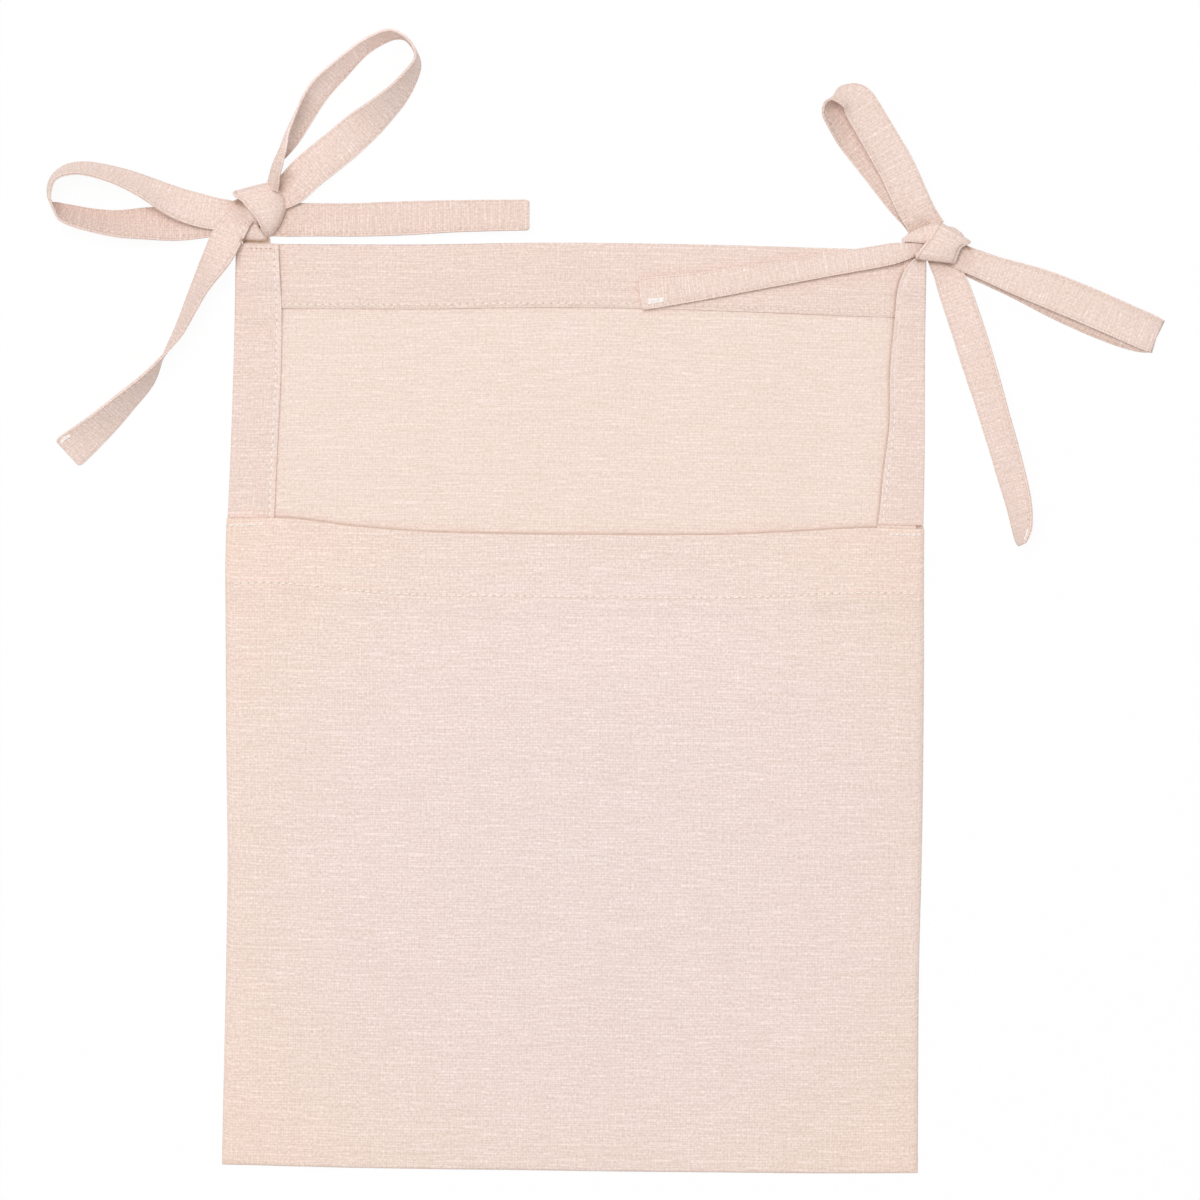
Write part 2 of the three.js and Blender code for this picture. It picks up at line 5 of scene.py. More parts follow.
import bpy
import numpy as np
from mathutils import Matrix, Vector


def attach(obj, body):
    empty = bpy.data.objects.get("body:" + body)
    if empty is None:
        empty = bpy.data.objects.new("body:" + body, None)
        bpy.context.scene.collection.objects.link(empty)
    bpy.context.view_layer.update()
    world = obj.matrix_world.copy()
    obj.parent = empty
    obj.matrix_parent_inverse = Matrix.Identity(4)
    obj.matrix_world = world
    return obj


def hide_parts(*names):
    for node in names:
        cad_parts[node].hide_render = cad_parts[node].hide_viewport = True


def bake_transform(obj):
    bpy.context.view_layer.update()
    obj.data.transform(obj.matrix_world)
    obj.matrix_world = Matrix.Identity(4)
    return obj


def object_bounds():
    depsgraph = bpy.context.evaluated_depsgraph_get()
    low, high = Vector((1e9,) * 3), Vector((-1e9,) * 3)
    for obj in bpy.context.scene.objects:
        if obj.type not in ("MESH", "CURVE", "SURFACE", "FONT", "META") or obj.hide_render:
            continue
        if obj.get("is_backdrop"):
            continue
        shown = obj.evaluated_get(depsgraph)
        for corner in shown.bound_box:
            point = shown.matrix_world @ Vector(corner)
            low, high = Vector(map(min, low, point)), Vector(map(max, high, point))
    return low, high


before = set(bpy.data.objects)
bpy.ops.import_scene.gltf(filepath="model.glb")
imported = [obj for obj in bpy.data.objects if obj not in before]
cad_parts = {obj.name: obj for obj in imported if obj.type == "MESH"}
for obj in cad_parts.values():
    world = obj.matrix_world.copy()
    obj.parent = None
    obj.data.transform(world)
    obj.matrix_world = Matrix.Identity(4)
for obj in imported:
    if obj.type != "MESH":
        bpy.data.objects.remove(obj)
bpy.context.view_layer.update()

MM = 0.001
IMAGE_SPAN = 519.0
IMAGE_CENTRE = (11.25, 45.85)
CAMERA_HEIGHT = 3000.0
SENSOR_W = 36.0
HOLDER = "organizer"

# The panel and its pocket, in millimetres, as in the part's source
PANEL_W, PANEL_H = 300.0, 400.0
POCKET_H, POCKET_ARCH, ARCH_RISE_L, MOUTH_SAG_L = 281.0, 4.0, 196.0, 70.0
TOP_HEM_W, SIDE_HEM_W, MOUTH_HEM_W, SEAM_W = 28.0, 20.0, 29.0, 17.0
CLOTH_T, HEM_T, SEAM_T, LAYER_GAP = 0.6, 0.9, 1.2, 0.3
FOLD_STUB, STEP_RUN, SIDE_ROUND = 1.0, 9.0, 3.5
HALF_W, HALF_H = PANEL_W / 2, PANEL_H / 2
MOUTH_Y = POCKET_H - HALF_H

# The tie tapes
TAPE_W, NARROW_TAIL_W, TAPE_T = 16.0, 14.2, 1.2
TAPE_LAYER = TAPE_T + LAYER_GAP
TONGUE_L = 15.0
LEFT_KNOT, RIGHT_KNOT = (-136.0, 215.5), (161.5, 201.0)

# Threads
STITCH_PITCH, STITCH_L, THREAD_R = 3.3, 2.45, 0.26
TAPE_PITCH, TAPE_STITCH, TAPE_THREAD_R, TACK_R = 2.9, 1.9, 0.16, 0.46
THREAD_TONE = (1.0, 0.955, 0.925)
CREAM_THREAD_TONE = (1.0, 0.90, 0.815)
TAPE_THREAD_TONE = (0.93, 0.79, 0.725)
# Sunk thread painted dark, as the shade in the holes it sits in
SUNK_THREAD_SHADE_TONE = (0.60, 0.40, 0.32)

# Cloth colours, linear. The panel, pocket and hems are one cloth: the single back panel is painted lightest,
# the pocket less and the layered hems darkest, as painted light from the pale floor showing through thin
# layers
PANEL_TONE = (0.890, 0.728, 0.648)
POCKET_TONE = (0.873, 0.714, 0.650)
HEM_TONE = (0.856, 0.683, 0.611)
TAPE_TONE = (0.872, 0.692, 0.618)


def ease(t):
    t = np.clip(t, 0, 1)
    return t * t * (3 - 2 * t)


def bell(distance, width):
    """1 where the distance is nothing, almost 0 at twice the width"""
    return np.exp(-((distance / width) ** 2))


def evenly(values):
    """Smooth line through values, or rows of them, spaced evenly from 0 to 1"""
    values = np.asarray(values, float)
    last = len(values) - 1

    def line(t):
        place = np.clip(t, 0, 1) * last
        i = np.minimum(np.floor(place).astype(int), last - 1)
        a, b, c, d = (values[np.clip(i + k, 0, last)] for k in (-1, 0, 1, 2))
        t = (place - i).reshape(np.shape(place) + (1,) * (values.ndim - 1))
        t2, t3 = t * t, t * t * t
        near = (2 * t3 - 3 * t2 + 1) * b + (t3 - 2 * t2 + t) * (c - a) / 2
        return near + (3 * t2 - 2 * t3) * c + (t3 - t2) * (d - b) / 2

    return line


def through(rows, steps):
    """Smooth rows through the given ones, steps to each gap"""
    return evenly(rows)(np.linspace(0, 1, (len(rows) - 1) * steps + 1))


# How the cloth lies: how far each edge of the panel strays from its straight line
stray_left = evenly([-1.9, -1.0, -0.1, 0.5, 0.0, -0.3, -0.3, 1.5, 2.9, 3.8])
stray_right = evenly([-1.6, -1.45, -1.1, 0.0, 0.7, 1.05, 1.0, 1.7, 1.85, 2.4])
stray_bottom = evenly([1.8, 0.7, -0.1, -0.6, -1.2, -1.6, -2.0, -1.9])
stray_top = evenly([-0.1, -0.3, -0.3, 0.4, 0.2, -0.65, -1.9, -3.1])
mouth_dip = evenly([0.2, 0, 3.1, 5.2, 6.3, 6.9, 6.8, 6.5, 5.8, 3.8, 1.8, 1.6])

# Lazy waves of the whole cloth: wavelength, heading in degrees, phase, height
WAVES = [
    (150, 25, 0.4, 0.10),
    (98, 78, 2.1, 0.08),
    (71, 131, 4.0, 0.07),
    (53, 12, 1.2, 0.05),
    (37, 103, 5.1, 0.035),
    (26, 58, 3.3, 0.025),
]
# Small creases: middle x and y, heading in degrees, half length, half width, height
CREASES = [
    (120, 134, 3, 14, 1.3, 0.22),
    (122, 111, -4, 13, 1.4, 0.25),
    (126, 101, -2, 9, 1.2, 0.16),
    (96, 64, 4, 40, 5.0, 0.3),
    (-70, -20, 86, 50, 6.0, 0.2),
    (12, -62, 88, 44, 7.0, 0.2),
    (62, -110, 92, 60, 6.0, 0.18),
    (118, -100, 87, 80, 9.0, 0.25),
]


def relief(x, y):
    """Height that every layer shares at a point in plan: zero at the panel's edge and beyond"""
    inside = np.minimum(HALF_W - np.abs(x), HALF_H - np.abs(y))
    z = np.zeros(np.broadcast(x, y).shape)
    for length, heading, phase, height in WAVES:
        a = math.radians(heading)
        z = z + height * (1 + np.sin((x * math.cos(a) + y * math.sin(a)) * 2 * math.pi / length + phase))
    for cx, cy, heading, half_l, half_w, height in CREASES:
        a = math.radians(heading)
        u = (x - cx) * math.cos(a) + (y - cy) * math.sin(a)
        v = (y - cy) * math.cos(a) - (x - cx) * math.sin(a)
        z = z + height * bell(u, half_l) * bell(v, half_w)
    return z * ease(inside / 12)


def lie(x, y, z):
    """Where a point of the straight panel lies"""
    x, y, z = np.broadcast_arrays(np.asarray(x, float), np.asarray(y, float), np.asarray(z, float))
    u, v = np.clip(x / PANEL_W + 0.5, 0, 1), np.clip(y / PANEL_H + 0.5, 0, 1)
    dx = stray_left(v) + (stray_right(v) - stray_left(v)) * u
    dy = stray_bottom(u) + (stray_top(u) - stray_bottom(u)) * v
    return np.stack([x + dx, y + dy, z + relief(x, y)], -1)


HEM_LOW = CLOTH_T + LAYER_GAP
HEM_MID = HEM_LOW + HEM_T / 2
HEM_FOLD = (HEM_MID - CLOTH_T / 2) / 2 + HEM_T / 2
PANEL_INSET = HEM_FOLD + FOLD_STUB


def side_hem_low(y):
    over_hem = ease((y - (HALF_H - TOP_HEM_W - LAYER_GAP - STEP_RUN)) / STEP_RUN)
    over_tongue = ease((y - (HALF_H - TONGUE_L - LAYER_GAP - STEP_RUN)) / STEP_RUN)
    return HEM_LOW + over_hem * (HEM_T + LAYER_GAP) + over_tongue * TAPE_LAYER


def mouth_at(x):
    return MOUTH_Y - mouth_dip(x / PANEL_W + 0.5)


def pocket_low(x, y):
    from_side = np.clip((HALF_W - np.abs(x)) / SIDE_ROUND, 0, 1)
    rounding = np.sqrt(1 - (1 - from_side) ** 2)
    from_mouth = mouth_at(x) - y
    over_hem = ease((MOUTH_HEM_W + LAYER_GAP + STEP_RUN - from_mouth) / STEP_RUN)
    closing = ease(1 - from_mouth / MOUTH_SAG_L)
    arch = POCKET_ARCH * (1 - (x / HALF_W) ** 4) * ease((y + HALF_H) / ARCH_RISE_L) * (1 - closing)
    sag = SEAM_T * closing * (1 - ease((np.abs(x) - HALF_W + SEAM_W + 20) / 13))
    return CLOTH_T + rounding * (SEAM_T + 2 * LAYER_GAP) + over_hem * (HEM_T + LAYER_GAP) + arch - sag


def finer(low, high, step, places=(), fine=0.5, reach=3.0):
    """Numbers from low to high at about one step, and finer round given places"""
    cuts = [low]
    while cuts[-1] < high:
        near = any(abs(cuts[-1] - p) < reach for p in places)
        cuts.append(cuts[-1] + (fine if near else step))
    cuts = np.array(cuts)
    return low + (cuts - low) * (high - low) / (cuts[-1] - low)


# Meshes


def unit(v):
    return v / np.maximum(np.linalg.norm(v, axis=-1, keepdims=True), 1e-9)


def facing(P):
    """Unit normals of a grid of points, rows along and columns across"""
    return unit(np.cross(np.gradient(P, axis=1), np.gradient(P, axis=0)))


RIM = (0.25, 0.62, 0.88)


def rounded(P, half, weave, sides):
    """The grid with its named sides drawn in to a thin round rim: l and r are its first and last column,
    b and t its first and last row"""
    grid = np.concatenate([P, half[..., None], weave], -1)
    for side in sides:
        if side in "lr":
            grid = grid.swapaxes(0, 1)
        if side in "rt":
            grid = grid[::-1]
        first, step = grid[0], grid[1] - grid[0]
        thick = first[..., 3:4]
        share_of_gap = thick / np.maximum(np.linalg.norm(step[..., :3], axis=-1, keepdims=True), 1e-6)
        rows = [first + step * share_of_gap * (1 - math.sqrt(1 - share * share)) for share in RIM]
        rows.append(first + step * np.minimum(share_of_gap, 0.5))
        for row, share in zip(rows, (*RIM, 1)):
            row[..., 3:4] = thick * share
        grid = np.concatenate([rows, grid[1:]])
        if side in "rt":
            grid = grid[::-1]
        if side in "lr":
            grid = grid.swapaxes(0, 1)
    return grid[..., :3], grid[..., 3], grid[..., 4:]


FAR = 50.0


def with_seam(weave, along=0.5, off=FAR, edge=FAR, painted_shading=0.0):
    """Weave coordinates with the stitch row's phase, the signed distances from it and from the free edge,
    and the painted shading: painted shade above zero and painted light below zero"""
    more = [np.broadcast_to(v, weave.shape[:-1]) for v in (along, off, edge, painted_shading)]
    return np.concatenate([weave, np.stack(more, -1)], -1)


def shell(P, half, weave):
    """Closed skin round a sheet: corners, faces and weave coordinates"""
    out = facing(P) * half[..., None]
    corners = np.concatenate([(P + out).reshape(-1, 3), (P - out).reshape(-1, 3)])
    count = half.size
    place = np.arange(count).reshape(half.shape)
    a, b, c, d = place[:-1, :-1], place[1:, :-1], place[1:, 1:], place[:-1, 1:]
    faces = [np.stack([a, d, c, b], -1), np.stack([a, b, c, d], -1) + count]
    for line, turn in ((place[:, 0], 1), (place[:, -1], -1), (place[0], -1), (place[-1], 1)):
        quad = np.stack([line[:-1], line[1:], line[1:] + count, line[:-1] + count], -1)
        faces.append(quad[:, ::turn])
    flat = (weave if weave.shape[-1] > 2 else with_seam(weave)).reshape(-1, 6)
    return corners, [f.reshape(-1, 4) for f in faces], np.concatenate([flat, flat])


def in_scene(name, data):
    """A new object with this data, linked into the scene"""
    obj = bpy.data.objects.new(name, data)
    bpy.context.scene.collection.objects.link(obj)
    return obj


def mesh_object(name, parts, material):
    """One mesh object out of parts of corners, groups of faces and weave coordinates, in millimetres"""
    corners = np.concatenate([p[0] for p in parts])
    weave = np.concatenate([p[2] for p in parts])
    mesh = bpy.data.meshes.new(name)
    starts, totals, loops = [], [], []
    base = offset = 0
    for points, groups, _ in parts:
        for group in groups:
            count, sides = group.shape
            loops.append((group + base).ravel())
            starts.append(offset + np.arange(count) * sides)
            totals.append(np.full(count, sides))
            offset += group.size
        base += len(points)
    loops, starts, totals = (np.concatenate(x).astype(np.int32) for x in (loops, starts, totals))
    mesh.vertices.add(len(corners))
    mesh.vertices.foreach_set("co", (corners * MM).astype(np.float32).ravel())
    mesh.loops.add(len(loops))
    mesh.loops.foreach_set("vertex_index", loops)
    mesh.polygons.add(len(starts))
    mesh.polygons.foreach_set("loop_start", starts)
    mesh.polygons.foreach_set("loop_total", totals)
    mesh.polygons.foreach_set("use_smooth", np.ones(len(starts), bool))
    mesh.update(calc_edges=True)
    mesh.validate()
    for layer_name, values in (("weave", weave[:, [0, 1, 5]]), ("seam", weave[:, 2:5])):
        layer = mesh.attributes.new(layer_name, "FLOAT_VECTOR", "POINT")
        layer.data.foreach_set("vector", values.astype(np.float32).ravel())
    mesh.materials.append(material)
    return in_scene(name, mesh)


# Threads

rng = np.random.default_rng(31)


def lengths(P):
    """How far along its line every point of a line, or of each column of a grid, lies"""
    steps = np.linalg.norm(np.diff(P, axis=0), axis=-1)
    return np.concatenate([np.zeros((1, *steps.shape[1:])), np.cumsum(steps, axis=0)])


def read_off(at, s, rows):
    """Rows of three numbers, given at the lengths s, read off at other lengths"""
    return np.stack([np.interp(at, s, rows[:, k]) for k in range(3)], -1)


def tube(rows, around):
    """Faces of a grid that closes round itself, and its two ends"""
    place = np.arange(rows * around).reshape(rows, around)
    a, b = place[:-1], place[1:]
    faces = np.stack([a, np.roll(a, -1, 1), np.roll(b, -1, 1), b], -1).reshape(-1, 4)
    return faces, np.stack([place[0][::-1], place[-1]])


def stitches(line, up, s, start, pitch=STITCH_PITCH, length=STITCH_L, radius=THREAD_R, wander=0.05):
    """A row of sewn stitches: small bowed threads laid end to end along a line of surface points,
    at even steps of the line's own coordinate s"""
    line, up = np.asarray(line, float), np.asarray(up, float)
    count = int((s[-1] - start) / pitch)
    if count < 1:
        return []
    begin = start + np.arange(count) * pitch + rng.normal(0, 0.06, count)
    rings, sides = 7, 8
    t = np.linspace(0, 1, rings)
    at = begin[:, None] + (pitch - length) / 2 + length * t[None, :] * (1 + rng.normal(0, 0.03, (count, 1)))
    middle = read_off(at, s, line)
    normal = unit(read_off(at, s, up))
    tangent = unit(np.gradient(middle, axis=1))
    across = unit(np.cross(normal, tangent))
    slant = 2 * t - 1
    bow = 1 - np.abs(slant) ** 2.6
    lift = radius * (1.2 * bow - 0.8)[None, :, None]
    aside = rng.normal(0, wander, (count, 1, 1))
    aside = aside + rng.normal(0, wander, (count, 1, 1)) * slant[None, :, None]
    middle = middle + normal * lift + across * aside
    girth = radius * np.sqrt(np.clip(1 - np.abs(slant) ** 3, 0.06, 1))
    turn = np.arange(sides) * 2 * math.pi / sides
    ring = across[:, :, None] * np.cos(turn)[:, None] + normal[:, :, None] * np.sin(turn)[:, None]
    corners = middle[:, :, None] + ring * girth[None, :, None, None]
    weave = with_seam(np.stack(np.broadcast_arrays(at[:, :, None], turn / (2 * math.pi)), -1))
    shift = (np.arange(count) * rings * sides)[:, None, None]
    faces = [(f[None] + shift).reshape(-1, f.shape[-1]) for f in tube(rings, sides)]
    return [(corners.reshape(-1, 3), faces, weave.reshape(-1, 6))]


def flat_row(line, s, start, **thread):
    """A row of stitches in cloth that lies flat"""
    return stitches(line, np.broadcast_to([0, 0, 1.0], line.shape), s, start, **thread)


# Materials


class Nodes:
    """Short names for building the node tree of a material or a world"""

    def __init__(self, owner):
        owner.use_nodes = True
        self.owner, self.tree = owner, owner.node_tree
        self.shader = self.tree.nodes.get("Principled BSDF")

    def fill(self, node, inputs):
        """Give a node's inputs, by name or place, a value or the output of another node"""
        for key, value in inputs.items():
            if hasattr(value, "is_output"):
                self.tree.links.new(value, node.inputs[key])
            else:
                node.inputs[key].default_value = value

    def new(self, kind, inputs, **settings):
        node = self.tree.nodes.new("ShaderNode" + kind)
        for key, value in settings.items():
            setattr(node, key, value)
        self.fill(node, inputs)
        return node

    def math(self, operation, a, b=0.0, c=0.0):
        return self.new("Math", {0: a, 1: b, 2: c}, operation=operation).outputs[0]

    def add(self, a, b):
        return self.math("ADD", a, b)

    def sub(self, a, b):
        return self.math("SUBTRACT", a, b)

    def mul(self, a, b):
        return self.math("MULTIPLY", a, b)

    def total(self, start, *parts):
        """The start value and each further value times its share"""
        for value, share in parts:
            start = self.math("MULTIPLY_ADD", value, share, start)
        return start

    def square(self, distance, width):
        return self.math("POWER", self.math("DIVIDE", distance, width), 2.0)

    def bell(self, distance, width):
        return self.math("EXPONENT", self.mul(self.square(distance, width), -1.0))

    def noise(self, vector, x, y, detail=2.0, rough=0.5):
        """Noise from -0.5 to 0.5, so many to the millimetre along and across"""
        place = self.new("VectorMath", {0: vector, 1: (x, y, 1.0)}, operation="MULTIPLY").outputs[0]
        node = self.new("TexNoise", {"Vector": place, "Scale": 1.0, "Detail": detail, "Roughness": rough})
        return self.sub(node.outputs["Fac"], 0.5)

    def read(self, name):
        """A mesh attribute as a vector and as three numbers"""
        vector = self.new("Attribute", {}, attribute_name=name).outputs["Vector"]
        return vector, *self.new("SeparateXYZ", {0: vector}).outputs

    def seen(self, *rays):
        """1 for the named kinds of ray, 0 for others"""
        path = self.new("LightPath", {})
        any_of = 0.0
        for ray in rays:
            any_of = self.math("MAXIMUM", path.outputs["Is " + ray + " Ray"], any_of)
        return any_of

    def tint(self, tone, shade, warmth=0.0):
        """The tone made lighter or darker by a share, and a little warmer or cooler where warmth says so"""
        channels = []
        for value, share, lean in zip(tone, (0.86, 1.05, 1.25), (0.25, -0.2, -1.0)):
            out = self.total(value, (shade, value * share))
            channels.append(self.mul(out, self.total(1.0, (warmth, lean))))
        return self.new("CombineColor", dict(enumerate(channels))).outputs[0]

    def bump(self, height, distance, strength):
        node = self.new("Bump", {"Height": height, "Distance": distance, "Strength": strength})
        return node.outputs["Normal"]


RIB_PITCH, WARP_PITCH = 1.25, 1.15
# Where the weave of these pieces starts, so that none repeats its neighbour's
HEM_U, POCKET_U, REVERSE_U = 40.0, 700.0, 25.0


def cloth_material(name, tone, line_shade=0.0, grain=1.0, slub=1.0, middle=None):
    """Plain woven cotton with linen-like slubs, drawn in millimetres along the cloth"""
    n = Nodes(bpy.data.materials.new(name))
    vector, u, v, painted_shading = n.read("weave")
    phase_u = n.mul(n.total(u, (n.noise(vector, 0.5, 0.05), 2.2)), math.pi / WARP_PITCH)
    phase_v = n.mul(n.total(v, (n.noise(vector, 0.05, 0.5), 3.6)), math.pi / RIB_PITCH)
    over = n.mul(n.math("SINE", phase_u), n.math("SINE", phase_v))
    warp, weft = (n.sub(0.64, n.math("ABSOLUTE", n.math("COSINE", phase))) for phase in (phase_u, phase_v))
    streak_u = n.noise(vector, 0.6, 0.04, 2.0, 0.6)
    streak_v = n.noise(vector, 0.06, 0.7, 2.0, 0.6)
    fleck = n.noise(vector, 0.85, 0.8, 1.0)
    fibre = n.noise(vector, 2.4, 2.9, 3.0, 0.65)
    cloud = n.noise(vector, 0.03, 0.024)
    blotch = n.noise(vector, 0.09, 0.12)
    height = n.mul(weft, n.total(0.78, (streak_u, 3.4 * slub)))
    warp_share = n.total(0.36, (streak_v, 2.2))
    height = n.total(height, (warp, warp_share), (over, 0.15), (fleck, 2.3), (fibre, 0.9))
    shade = n.mul(height, 0.185 * grain)
    shade = n.total(shade, (streak_u, 0.10 * slub), (streak_v, 0.03), (cloud, 0.03))
    # Painted shade in the needle holes, a little warmer there, and along the tight groove that the stitch row
    # draws in; a painted highlight on the rim of a folded edge and a painted shade line just inside it; and
    # the painted shading that the mesh carries
    _, along, off, edge = n.read("seam")
    nearest = n.sub(n.math("FRACT", n.add(along, 0.5)), 0.5)
    hole = n.mul(n.bell(nearest, 0.11), n.bell(off, 0.36))
    row_groove_shade, rim, line = n.bell(off, 0.8), n.bell(edge, 0.45), n.bell(n.sub(edge, 0.95), 0.26)
    shade = n.total(shade, (hole, -0.14), (row_groove_shade, -0.03), (rim, 0.06), (line, -line_shade), (painted_shading, -0.05))
    height = n.total(height, (hole, -2.0))
    warmth = n.total(n.mul(hole, 0.04), (blotch, 0.05))
    if middle is not None:
        # Cooler in the middle of the piece than round its sides
        aside, above = n.square(n.sub(u, middle[0]), 150.0), n.square(n.sub(v, middle[1]), 140.0)
        warmth = n.sub(n.total(warmth, (aside, 0.06), (above, 0.055)), 0.036)
    n.fill(n.shader, {
        "Base Color": n.tint(tone, shade, warmth), "Roughness": n.total(0.86, (fibre, 0.14)),
        "Specular IOR Level": 0.25, "Sheen Weight": 0.12, "Sheen Roughness": 0.45,
        "Sheen Tint": (1.0, 0.93, 0.9, 1.0), "Normal": n.bump(height, 0.0001, 0.6),
    })
    return n.owner


def thread_material(name, tone):
    """Twisted cotton sewing thread: plies wind round it"""
    n = Nodes(bpy.data.materials.new(name))
    vector, along, turn, _ = n.read("weave")
    ply = n.math("SINE", n.mul(n.total(n.mul(turn, 2.0), (along, 1.6)), 2 * math.pi))
    fuzz = n.noise(vector, 2.3, 5.0, 3.0, 0.6)
    n.fill(n.shader, {
        "Base Color": n.tint(tone, n.total(n.mul(ply, 0.02), (fuzz, 0.06))), "Roughness": 0.62,
        "Specular IOR Level": 0.35, "Sheen Weight": 0.1, "Normal": n.bump(n.add(ply, fuzz), 0.00006, 0.5),
    })
    return n.owner


CLOTH = cloth_material("woven_panel_cloth", PANEL_TONE, grain=0.82, slub=0.25)
POCKET = cloth_material("woven_pocket_cloth", POCKET_TONE, slub=0.5, middle=(POCKET_U + 10.0, 143.0))
HEM = cloth_material("woven_hem_cloth", HEM_TONE, slub=0.5)
TAPE = cloth_material("woven_tie_tape", TAPE_TONE, line_shade=0.1)
THREAD = thread_material("sewing_thread", THREAD_TONE)
CREAM_THREAD = thread_material("cream_thread", CREAM_THREAD_TONE)
TAPE_THREAD = thread_material("tape_thread", TAPE_THREAD_TONE)
SUNK_THREAD = thread_material("sunk_thread", SUNK_THREAD_SHADE_TONE)


# Panel pieces

FOLD_TURNS, MOUTH_TURNS = 10, 8


def fold_steps(back, front, depth=None, turns=FOLD_TURNS):
    """A fold seen end on: distance in from it, z and half thickness, from the back layer to the front"""
    (back_z, back_half), (front_z, front_half) = back, front
    if depth is None:
        depth = (front_z - back_z) / 2 + max(back_half, front_half)
    radius = depth - max(back_half, front_half)
    middle = (back_z + front_z) / 2
    steps = [(depth + FOLD_STUB, back_z, back_half)]
    for k in range(turns + 1):
        angle = math.pi * k / turns
        z = middle - (middle - back_z) * math.cos(angle)
        steps.append((depth - radius * math.sin(angle), z, back_half + (front_half - back_half) * k / turns))
    return steps


BACK_LAYER = (CLOTH_T / 2, CLOTH_T / 2)
PANEL_STEP, SEAM_STEP = 2.5, 1.1
GROOVE, GROOVE_W = 0.1, 0.55


def groove(distance):
    """How much a stitch row draws the cloth in at a distance from it"""
    return GROOVE * bell(distance, GROOVE_W)


def pucker(along, distance, seed):
    """Small gathers that a row of stitches leaves beside it"""
    waves = sum(
        w * np.sin(along * 2 * math.pi / l + seed * k)
        for k, (l, w) in enumerate([(3.3, 0.4), (7.1, 0.35), (11.7, 0.5), (19.0, 0.4)])
    )
    return 0.05 * waves * bell(distance, 3.2)


def edge_roll(edge):
    """How much the folded free edge of a hem stands up, by the distance from it"""
    return 0.35 * bell(edge - 0.4, 0.8)


def declare(obj, slot, flat, held, rests_on, *nodes, with_pieces=()):
    """Hide the CAD parts of the nodes that the piece stands for; the piece, its slot, its flat size in
    millimetres, how it is held, what it rests on and the pieces sewn to it are not used
    """
    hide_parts(*nodes)


def sheet_piece(name, P, half, weave, sides, material):
    return mesh_object(name, [shell(*rounded(P, half, weave, sides))], material)


# Painted shade where tapes and hems dip into dark hollows round the knots, and painted light where the depth
# is below zero: two ends in plan, reach, depth of tone
PAINTED_SHADING_SPOTS = [
    (-145.4, 217.7, -143.6, 216.7, 0.8, 9.0),
    (-147.2, 219.0, -143.0, 216.2, 2.3, 2.2),
    (-126.6, 223.9, -122.8, 229.0, 2.2, 4.2),
    (-122.9, 249.1, -123.5, 241.5, 2.5, -2.2),
    (-79.5, 289.5, -90.5, 284.0, 6.0, -3.2),
    (-96.0, 279.0, -111.0, 265.5, 6.0, -3.2),
    (-135.9, 208.9, -132.6, 203.3, 1.0, 12.0),
    (-143.4, 201.0, -131.8, 200.7, 0.6, 12.0),
    (146.5, 193.9, 148.6, 193.2, 0.9, 8.0),
    (148.6, 192.9, 163.5, 190.6, 0.7, 5.0),
    (168.4, 198.6, 170.9, 197.6, 0.8, 7.0),
    (146.2, 207.2, 152.2, 209.5, 2.2, 2.6),
    (147.2, 191.6, 152.0, 191.4, 1.1, 3.0),
]


def painted_spot_shading(x, y):
    """How much painted shade the cloth carries at a point in plan, painted light where it is below zero"""
    painted_shading = np.zeros(np.shape(x))
    for x0, y0, x1, y1, reach, depth in PAINTED_SHADING_SPOTS:
        dx, dy = x1 - x0, y1 - y0
        t = np.clip(((x - x0) * dx + (y - y0) * dy) / (dx * dx + dy * dy), 0, 1)
        distance = np.hypot(x - x0 - t * dx, y - y0 - t * dy)
        painted_shading = painted_shading + depth * bell(distance, reach)
    return painted_shading


panel_threads, cream_threads = [], []

# How wide the side hems are from the mouth up to the top, in millimetres
left_hem_w = evenly([20.3, 20.3, 20.8, 20.5, 18.7])
right_hem_w = evenly([19.7, 18.9, 18.2, 17.3, 16.2, 15.4, 15.4, 15.4, 14.9, 14.1, 13.4, 12.7, 9.8, 3.0])


def up_side(y):
    """Share of the way from the mouth's corner up to the top"""
    return (y - MOUTH_Y) / (HALF_H - MOUTH_Y)


def top_hem_w(x):
    return TOP_HEM_W + 1.3 * ease(x / HALF_W)


# Back panel, with painted shade close under each edge that lies over it: a soft painted shade, its reach and
# a crisp painted shade line
inner = HALF_W - PANEL_INSET
low = -HALF_H + (SEAM_T + CLOTH_T + 2 * LAYER_GAP) / 2 + CLOTH_T / 2 + FOLD_STUB
covered = finer(low, MOUTH_Y - 2 * LAYER_GAP, PANEL_STEP, [MOUTH_Y - 3], reach=6.0)
open_part = finer(MOUTH_Y, HALF_H - PANEL_INSET, 1.5, [MOUTH_Y, HALF_H - TOP_HEM_W - 2], reach=4.0)
ys = np.concatenate([covered, open_part])
extent = np.where(ys < MOUTH_Y, HALF_W, inner)
across = finer(-1, 1, PANEL_STEP / HALF_W, [-0.86, 0.9], 0.5 / HALF_W, 0.04)
X, Y = np.broadcast_arrays(extent[:, None] * across, ys[:, None])
half = np.full(X.shape, CLOTH_T / 2)
painted_shading = 0.0
for distance, soft, reach, crisp in (
    (Y - mouth_at(X), 1.3, 1.8, 3.6),
    (HALF_H - top_hem_w(X) - Y, 0.4, 0.9, 0.0),
    (X + HALF_W - left_hem_w(up_side(Y)), 0.9, 1.1, 0.0),
    (HALF_W - right_hem_w(up_side(Y)) - X, 1.3, 1.5, 3.4),
):
    beyond = np.maximum(distance, 0)
    painted_shading = np.maximum(painted_shading, soft * np.exp(-beyond / reach) + crisp * bell(beyond, 0.7))
weave = with_seam(np.stack([X, Y], -1), painted_shading=painted_shading)
back_panel = sheet_piece("cloth_back_panel", lie(X, Y, CLOTH_T / 2), half, weave, "lr", CLOTH)

